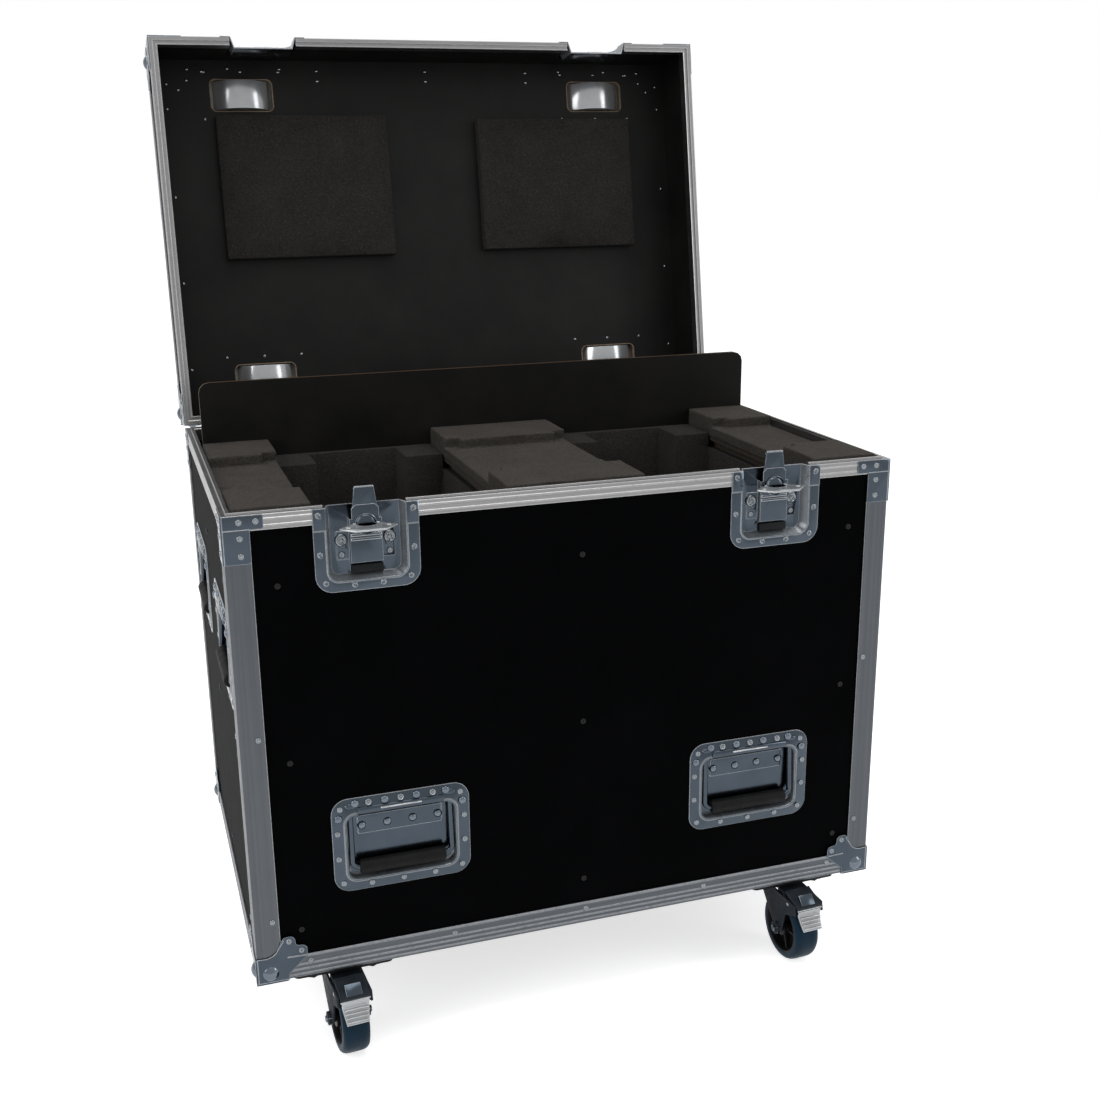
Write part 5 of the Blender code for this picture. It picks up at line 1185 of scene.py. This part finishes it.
def tyre_master():
    half = 0.0185
    profile = [(0.0380, half - 0.002), (0.0392, half), (0.0440, half), (0.0462, half - 0.0006),
               (0.0484, half - 0.0030), (0.0496, half - 0.0065), (0.0500, half - 0.0110)]
    return smooth(turned_ring("tyre", both_halves(profile), 64), 40)


def hub_master():
    """The hub's rim, web, bearing boss and five ribs on each side."""
    half = 0.0178
    profile = [(0.0392, half), (0.0368, half + 0.0004), (0.0352, half - 0.003),
               (0.0335, 0.0060), (0.0130, 0.0052), (0.0130, half + 0.0010),
               (0.0068, half + 0.0010)]
    ring = turned_ring("hub_rim", both_halves(profile), 64)
    ribs = []
    for index in range(5):
        rib = block("rib", (0.0110, -0.0016, -0.0135), (0.0350, 0.0016, 0.0135))
        soften(rib, 0.0006)
        rib.data.transform(Matrix.Rotation(math.tau * index / 5, 4, "Z"))
        ribs.append(rib)
    return smooth(fuse("hub", [ring, *ribs]), 40)


def axle_nut_master():
    nut = turned_piece("axle_nut", [(0.0098, 0), (0.0098, 0.0040), (0.0088, 0.0048),
                                    (0.0052, 0.0048), (0.0050, 0.0074), (0.0040, 0.0080)], 6)
    return smooth(nut, 20)


TAB_FOOT = -0.0268
TREAD_TOP = -0.0370
TREAD_DROP = 0.0200


def tread_share(level):
    """How far down the tread a level is, from nothing at its top to 1 at its end."""
    return min(1, max(0, (TREAD_TOP - level) / TREAD_DROP))


def narrow_tread(pedal, swivel):
    """Draws the tread in towards its end and gives the tab above it the plain, darker steel,
    leaving the painted highlight on the tread.
    """
    pedal.data.transform(swivel.inverted())
    for vert in pedal.data.vertices:
        vert.co.y *= 1 - 0.18 * tread_share(vert.co.z)
    second_finish(pedal, STEEL, lambda face: face.center.z > TAB_FOOT)
    pedal.data.transform(swivel)


def pedal_ribs_master():
    """Raised bars across the brake's tread and across its tab."""
    bars = []
    tread = ((0.0850, TREAD_TOP), (0.0970, TREAD_TOP - TREAD_DROP), 0.0165, 4)
    tab = ((0.0830, -0.0262), (0.0695, -0.0140), 0.0095, 3)
    for start, stop, half, count in (tread, tab):
        run = Vector(stop) - Vector(start)
        out = Vector((abs(run.y), abs(run.x))).normalized() * 0.0005
        for index in range(count):
            spot = Vector(start) + run * (index + 0.7) / (count + 0.4) + out
            reach = half - 0.0030 * tread_share(spot.y)
            bar = block("bar", (-0.0012, -reach, -0.0011), (0.0012, reach, 0.0011))
            soften(bar, 0.0007, 2)
            bar.data.transform(Matrix.Translation((spot.x, 0, spot.y)))
            bars.append(bar)
    return smooth(fuse("pedal_ribs", bars), 50)


def pedal_cover_master():
    """The dark sloped cover between the tab and the pivot, with its two side gussets."""
    top = plate("cover", [(0.0500, -0.0142), (0.0500, -0.0130), (0.0868, -0.0240),
                          (0.0868, -0.0252)], -0.0200, 0.0200)
    gussets = [plate("gusset", [(0.0520, -0.0148), (0.0860, -0.0252), (0.0860, -0.0272),
                                (0.0560, -0.0205)], min(side * 0.0186, side * 0.0200),
                     max(side * 0.0186, side * 0.0200)) for side in (-1, 1)]
    whole = fuse("pedal_cover", [top, *gussets])
    whole.data.transform(Matrix.Rotation(math.pi / 2, 4, "X"))
    return smooth(soften(whole, 0.0004))


def castor_runner(name, x):
    """A board under the case with two bolted castor plates and their swivel races."""
    pieces = [plate("board", rectangle(x - 0.067, x + 0.067, -0.288, 0.288, 0.008),
                    CASTOR_TOP - 0.008, CASTOR_TOP)]
    soften(pieces[0], 0.0006)
    race = [(0.0260, -0.0188), (0.0264, -0.0178), (0.0264, -0.0145), (0.0290, -0.0108)]
    bolt = [(0.0060, -0.0155), (0.0065, -0.0150), (0.0065, -0.0110)]
    for y in (-CASTOR_Y, CASTOR_Y):
        seat = plate("seat", rectangle(x - 0.0525, x + 0.0525, y - 0.040, y + 0.040, 0.006),
                     CASTOR_TOP - 0.011, CASTOR_TOP - 0.0078)
        pieces.append(soften(seat, 0.0005))
        turned = [("race", race, 40, 0, 0)]
        turned += [("bolt", bolt, 6, across, along) for across in (-0.040, 0.040)
                   for along in (-0.030, 0.030)]
        for kind, profile, sides, across, along in turned:
            piece = turned_piece(kind, profile, sides)
            piece.data.transform(Matrix.Translation((x + across, y + along, CASTOR_TOP)))
            pieces.append(piece)
    return smooth(fuse(name, pieces), 30)


def crown_front_master():
    """The folded front of the fork's crown, above the wheel."""
    piece = block("crown_front", (0.0285, -0.0205, -0.0275), (0.0480, 0.0205, -0.0165))
    return smooth(soften(piece, 0.0012, 3))


def build_castors():
    tyre = tyre_master()
    hub = hub_master()
    nut = axle_nut_master()
    ribs = pedal_ribs_master()
    cover = pedal_cover_master()
    crown = crown_front_master()
    across = Matrix.Rotation(math.pi / 2, 4, "X")
    for name, degrees in CASTOR_TURNS.items():
        swivel = (Matrix.Translation((*corner_spot(name, CASTOR_X, CASTOR_Y), CASTOR_TOP))
                  @ Matrix.Rotation(math.radians(degrees) - math.pi / 2, 4, "Z"))
        axle = swivel @ Matrix.Translation((TRAIL, 0, AXLE_Z)) @ across
        dress(copy_to(tyre, name + "_tyre", axle), TYRE, name + "_wheel",
              [name + "_castor_wheel"])
        dress(copy_to(hub, name + "_hub", axle), HUB_PLASTIC, name + "_wheel")
        fork = finer_copy(name + "_castor_fork", name + "_fork", 0.0006)
        dress(fork, DARK_STEEL, name + "_castor", [name + "_castor_fork"])
        nuts = [copy_to(nut, "nut", axle @ Matrix.Translation((0, 0, 0.0240))),
                copy_to(nut, "nut", axle @ Matrix.Rotation(math.pi, 4, "X")
                        @ Matrix.Translation((0, 0, 0.0240)))]
        plated(fuse(name + "_axle_nuts", nuts), STEEL, name + "_castor")
        dress(copy_to(crown, name + "_crown_front", swivel), DARK_STEEL, name + "_castor")
        if name.startswith("front"):
            pedal = finer_copy(name + "_brake_pedal", name + "_pedal_plate", 0.0007)
            # painted highlight: the pedal and its ribs take the highlight steel, the tab the plain
            # steel
            plated(pedal, HIGHLIGHT_STEEL, name + "_pedal", name + "_brake_pedal")
            narrow_tread(pedal, swivel)
            plated(copy_to(ribs, name + "_pedal_ribs", swivel), HIGHLIGHT_STEEL, name + "_pedal")
            dress(copy_to(cover, name + "_pedal_cover", swivel), DARK_STEEL, name + "_pedal")
    for side in ("left", "right"):
        board = castor_runner(side + "_castor_runner", CASTOR_X if side == "right" else -CASTOR_X)
        dress(board, BLACK_PAINT, "case", [side + "_castor_board"])
    drop(tyre, hub, nut, ribs, cover, crown)


# Foam

def foam_piece(name, low, high, tools, finish, body, nodes, edge=0.0022):
    """A foam block with cuts, soft edges and a slightly uneven skin."""
    piece = block(name, low, high)
    cut_out(piece, *tools)
    soften(piece, edge, 3)
    edit(piece)
    bpy.ops.mesh.quads_convert_to_tris()
    finish_edit()
    work(piece, "SUBSURF", subdivision_type="SIMPLE", levels=2, render_levels=2)
    work(piece, "DISPLACE", texture=FOAM_SKIN, strength=0.0010, mid_level=0.5,
         texture_coords="OBJECT")
    smooth(piece, 50)
    dress(piece, finish, body, nodes)
    return piece


FOAM_SKIN = bpy.data.textures.new("foam_skin", "CLOUDS")
FOAM_SKIN.noise_scale = 0.006
FOAM_SKIN.noise_depth = 1


STEP_UP = BOTTOM + 0.620
STEP_FRONT = FRONT + 0.120
STEP_BACK = FRONT + 0.322


def build_foam():
    for side in ("left", "centre", "right"):
        node = "foam_block_" + side
        low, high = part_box(node)
        tools = [block("step", (low.x - 0.01, STEP_FRONT, STEP_UP),
                       (high.x + 0.01, STEP_BACK, high.z + 0.01))]
        edges = {"left": [1], "centre": [-1, 1], "right": [-1]}[side]
        for sign in edges:
            edge = high.x if sign > 0 else low.x
            ends = sorted((edge - sign * 0.021, edge + sign * 0.01))
            for near, far in ((STEP_FRONT - 0.016, STEP_FRONT + 0.01),
                              (STEP_BACK - 0.01, STEP_BACK + 0.016)):
                tools.append(block("notch", (ends[0], near, STEP_UP),
                                   (ends[1], far, high.z + 0.01)))
        foam_piece(side + "_foam", low, high, tools, FOAM, "case", [node])
    for side in ("left", "right"):
        node = "lid_foam_pad_" + side
        shut = LID_SWING.inverted()
        corners = [shut @ Vector(vert.co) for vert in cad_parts[node].data.vertices]
        low = [min(corner[axis] for corner in corners) for axis in range(3)]
        high = [max(corner[axis] for corner in corners) for axis in range(3)]
        pad = foam_piece(side + "_lid_pad", low, high, [], PAD_FOAM, "lid", [node], 0.0025)
        pad.data.transform(LID_SWING)
    lining = finer_copy("well_lining", "well_foam", 0.0015)
    dress(lining, DARK_FOAM, "case", ["well_lining"])


# Rivets along the edges, on the walls and inside the lid

CUP_X = 0.306
CUP_Y = 0.2297
CUP_POPS = [(across, row) for across in (-0.0615, 0, 0.0615) for row in (-0.0375, 0.0375)]


PANEL_ROWS = (0.0685, 0.3045, 0.5380)
POST_ROWS = (0.0870, 0.3420)
POST_INSET = 0.0243
BOTTOM_ROW = 0.0222
LID_TAILS = [(0.424, -0.247), (0.390, -0.2705), (0.364, -0.2666), (0.406, -0.238),
             (0.392, -0.253), (0.426, -0.208), (0.181, -0.2695), (0.181, -0.2533),
             (0.242, -0.2720), (0.326, -0.2720), (0.426, -0.0686), (0.426, 0.0690),
             (0.426, 0.2095)]


def build_loose_rivets():
    front = wall_place((0, FRONT, BOTTOM), (0, -1, 0))
    back = wall_place((0, BACK, BOTTOM), (0, 1, 0))
    left, right = [wall_place((sign * RIGHT, 0, BOTTOM), (sign, 0, 0)) for sign in (-1, 1)]
    long_row = (-0.380, -0.185, 0.004, 0.184, 0.384)
    walls = [(front, RIGHT, (-0.389, 0.002, 0.392), long_row),
             (back, RIGHT, (-0.389, 0, 0.389), long_row),
             (left, BACK, (-0.245, 0, 0.245), (-0.2, 0, 0.2)),
             (right, BACK, (-0.245, 0, 0.245), (-0.2, 0, 0.2))]
    panel = []
    edge = []
    for wall, reach, across, along in walls:
        panel += [(wall, x, up, -SKIN) for up in PANEL_ROWS for x in across]
        edge += [(wall, sign * (reach - POST_INSET), up, 0) for up in POST_ROWS
                 for sign in (-1, 1)]
        edge += [(wall, x, BOTTOM_ROW, 0) for x in along]
    rivet_row("panel_rivets", POP_RIVET, panel, BLACK_RIVET, "case")
    rivet_row("edge_rivets", POP_RIVET, edge, RIVET_STEEL, "case")
    ceiling = (LID_SWING @ Matrix.Translation((0, 0, LID_CEILING))
               @ Matrix.Rotation(math.pi, 4, "X"))
    tails = [(ceiling, sign * x, -y, 0) for x, y in LID_TAILS for sign in (-1, 1)]
    tails += [(ceiling, 0.003, 0.2700, 0), (ceiling, 0.003, 0.2540, 0)]
    for name in CORNER_NAMES:
        x, y = corner_spot(name, CUP_X, CUP_Y)
        tails += [(ceiling, x + across, -(y + row), 0) for across, row in CUP_POPS]
    rivet_row("lid_rivet_tails", TAIL_RIVET, tails, RIVET_STEEL, "lid")


def cut_edge_master():
    """The bare ply edge that shows round a castor dish."""
    frame_piece = plate("cut_edge", rectangle(-0.0508, 0.0508, -0.0259, 0.0259, 0.010, 8),
                        -0.0003, 0.0100)
    inside = plate("inside", rectangle(-0.0494, 0.0494, -0.0245, 0.0245, 0.0086, 8), -0.01, 0.02)
    return smooth(cut_out(frame_piece, inside))


CUP_RADIUS = 0.0520
CUP_HALF = 0.0210
CUP_AXIS = 0.0270
CUP_STEPS = 40


def trough(name, radius, half, lift):
    """A rounded trough about an axis above height 0, its flat top at the lift."""
    span = math.acos(CUP_AXIS / CUP_RADIUS)
    outline = []
    for step in range(CUP_STEPS + 1):
        angle = -span + 2 * span * step / CUP_STEPS
        outline.append((radius * math.sin(angle), CUP_AXIS - radius * math.cos(angle)))
    outline += [(outline[-1][0], lift), (outline[0][0], lift)]
    piece = plate(name, outline, -half, half)
    piece.data.transform(FACE_FRONT)
    return face_out(piece)


def cup_master():
    """The dish that a castor wheel of a second case drops into."""
    cup = plate("cup", rectangle(-0.0725, 0.0725, -0.048, 0.048, 0.008), 0, SHEET)
    shell = trough("shell", CUP_RADIUS + SHEET, CUP_HALF + SHEET, SHEET / 2)
    work(cup, "BOOLEAN", object=shell, operation="UNION", solver="EXACT")
    drop(shell)
    cut_out(cup, trough("hollow", CUP_RADIUS, CUP_HALF, 0.01))
    return smooth(soften(cup, 0.0006), 40)


def build_cups():
    edge = cut_edge_master()
    cup = cup_master()
    lid_up = LID_SWING.to_3x3() @ Vector((0, 0, 1))
    rivets = []
    for name in CORNER_NAMES:
        x, y = corner_spot(name, CUP_X, CUP_Y)
        ring = copy_to(edge, "castor_cut_edge",
                       LID_SWING @ Matrix.Translation((x, y, LID_CEILING)))
        dress(ring, PLY, "lid")
        place = LID_SWING @ Matrix.Translation((x, y, LID_TOP + 0.0003))
        dish = copy_to(cup, name + "_cup", place)
        # painted highlight: faces that do not turn up out of the lid take the highlight steel
        plated(dish, HIGHLIGHT_STEEL, "lid", name + "_castor_dish")
        second_finish(dish, STEEL, lambda face: face.normal.dot(lid_up) > 0.05)
        rivets += [(place, across, row, SHEET) for across, row in CUP_POPS]
    rivet_row("cup_rivets", POP_RIVET, rivets, RIVET_STEEL, "lid")
    drop(edge, cup)


def build_rest():
    for node, finish in (("base_wall_panels", OUTER_BOARD), ("base_floor_panel", OUTER_BOARD),
                         ("lid_panels", LID_BOARD), ("divider_board", DIVIDER_BOARD),
                         ("ply_insert", DARK_PLY), ("divider_stop", DARK_PLY)):
        repaint(node, finish)
    for node, body in (("hinge_base_leaf", "case"), ("hinge_lid_leaf", "lid")):
        leaf = finer_copy(node, node + "_plate", 0.0004)
        plated(leaf, STEEL, body, node)


# The studio; the camera was fitted to the photograph, with lengths in pixels

PHOTO_SIDE = 1100
CAMERA_FOCAL = 1339.5
CAMERA_AT = (-0.5588, -1.8613, 1.0242)
CAMERA_TURNS = (73.853, 0.631, -18.426)


def build_studio():
    scene = bpy.context.scene
    let_go()
    bpy.ops.mesh.primitive_grid_add(x_subdivisions=2, y_subdivisions=2, size=60,
                                    location=(0, 0, GROUND - 0.0003))
    floor = bpy.context.object
    floor.name = "studio_floor"
    pale = bpy.data.materials.new("studio_floor")
    pale.use_nodes = True
    tree = pale.node_tree
    shader = tree.nodes["Principled BSDF"]
    shader.inputs["Base Color"].default_value = (0.86, 0.86, 0.86, 1)
    shader.inputs["Roughness"].default_value = 0.9
    shader.inputs["Specular IOR Level"].default_value = 0.1
    path = add_node(tree, "ShaderNodeLightPath").outputs
    either = sums(tree, "MAXIMUM", path["Is Camera Ray"], path["Is Glossy Ray"])
    shader.inputs["Emission Color"].default_value = (1, 1, 1, 1)
    tree.links.new(sums(tree, "MULTIPLY", either, 0.66), shader.inputs["Emission Strength"])
    floor.data.materials.append(pale)

    world = bpy.data.worlds.new("studio")
    scene.world = world
    world.use_nodes = True
    tree = world.node_tree
    tree.nodes.clear()
    end = add_node(tree, "ShaderNodeOutputWorld")
    path = add_node(tree, "ShaderNodeLightPath").outputs
    first = sums(tree, "MAXIMUM", path["Is Camera Ray"], path["Is Glossy Ray"])
    seen = sums(tree, "MAXIMUM", first, path["Is Transmission Ray"])
    soft = add_node(tree, "ShaderNodeBackground", [("Color", (1, 1, 1, 1)), ("Strength", 0.55)])
    white = add_node(tree, "ShaderNodeBackground", [("Color", (1, 1, 1, 1)), ("Strength", 1.0)])
    mixed = add_node(tree, "ShaderNodeMixShader",
                     [(0, seen), (1, soft.outputs[0]), (2, white.outputs[0])])
    tree.links.new(mixed.outputs[0], end.inputs["Surface"])

    def lamp(name, place, target, size, watts):
        light = bpy.data.lights.new(name, "AREA")
        light.shape = "RECTANGLE"
        light.size, light.size_y = size
        light.energy = watts
        holder = bpy.data.objects.new(name, light)
        scene.collection.objects.link(holder)
        holder.location = place
        aim = Vector(target) - Vector(place)
        holder.rotation_euler = aim.to_track_quat("-Z", "Y").to_euler()

    lamp("left_softbox", (-2.6, -0.9, 1.9), (0, 0, 0.4), (1.2, 2.2), 36)
    lamp("top_softbox", (0.2, -0.4, 3.2), (0, 0, 0.4), (2.4, 1.8), 46)
    lamp("right_softbox", (2.8, -1.8, 1.6), (0, 0, 0.4), (1.0, 1.8), 22)

    lens = bpy.data.cameras.new("photo_camera")
    lens.sensor_width = 36
    lens.lens = 36 * CAMERA_FOCAL / PHOTO_SIDE
    lens.clip_start = 0.05
    lens.clip_end = 200
    camera = bpy.data.objects.new("photo_camera", lens)
    scene.collection.objects.link(camera)
    camera.location = CAMERA_AT
    camera.rotation_euler = [math.radians(angle) for angle in CAMERA_TURNS]
    scene.camera = camera
    scene.view_settings.view_transform = "Standard"


build_edges()
build_corners()
build_handles()
build_latches()
build_castors()
build_foam()
build_cups()
build_loose_rivets()
build_rest()
build_studio()
drop(POP_RIVET, DOME_RIVET, TAIL_RIVET, RINGED_RIVET)
let_go()
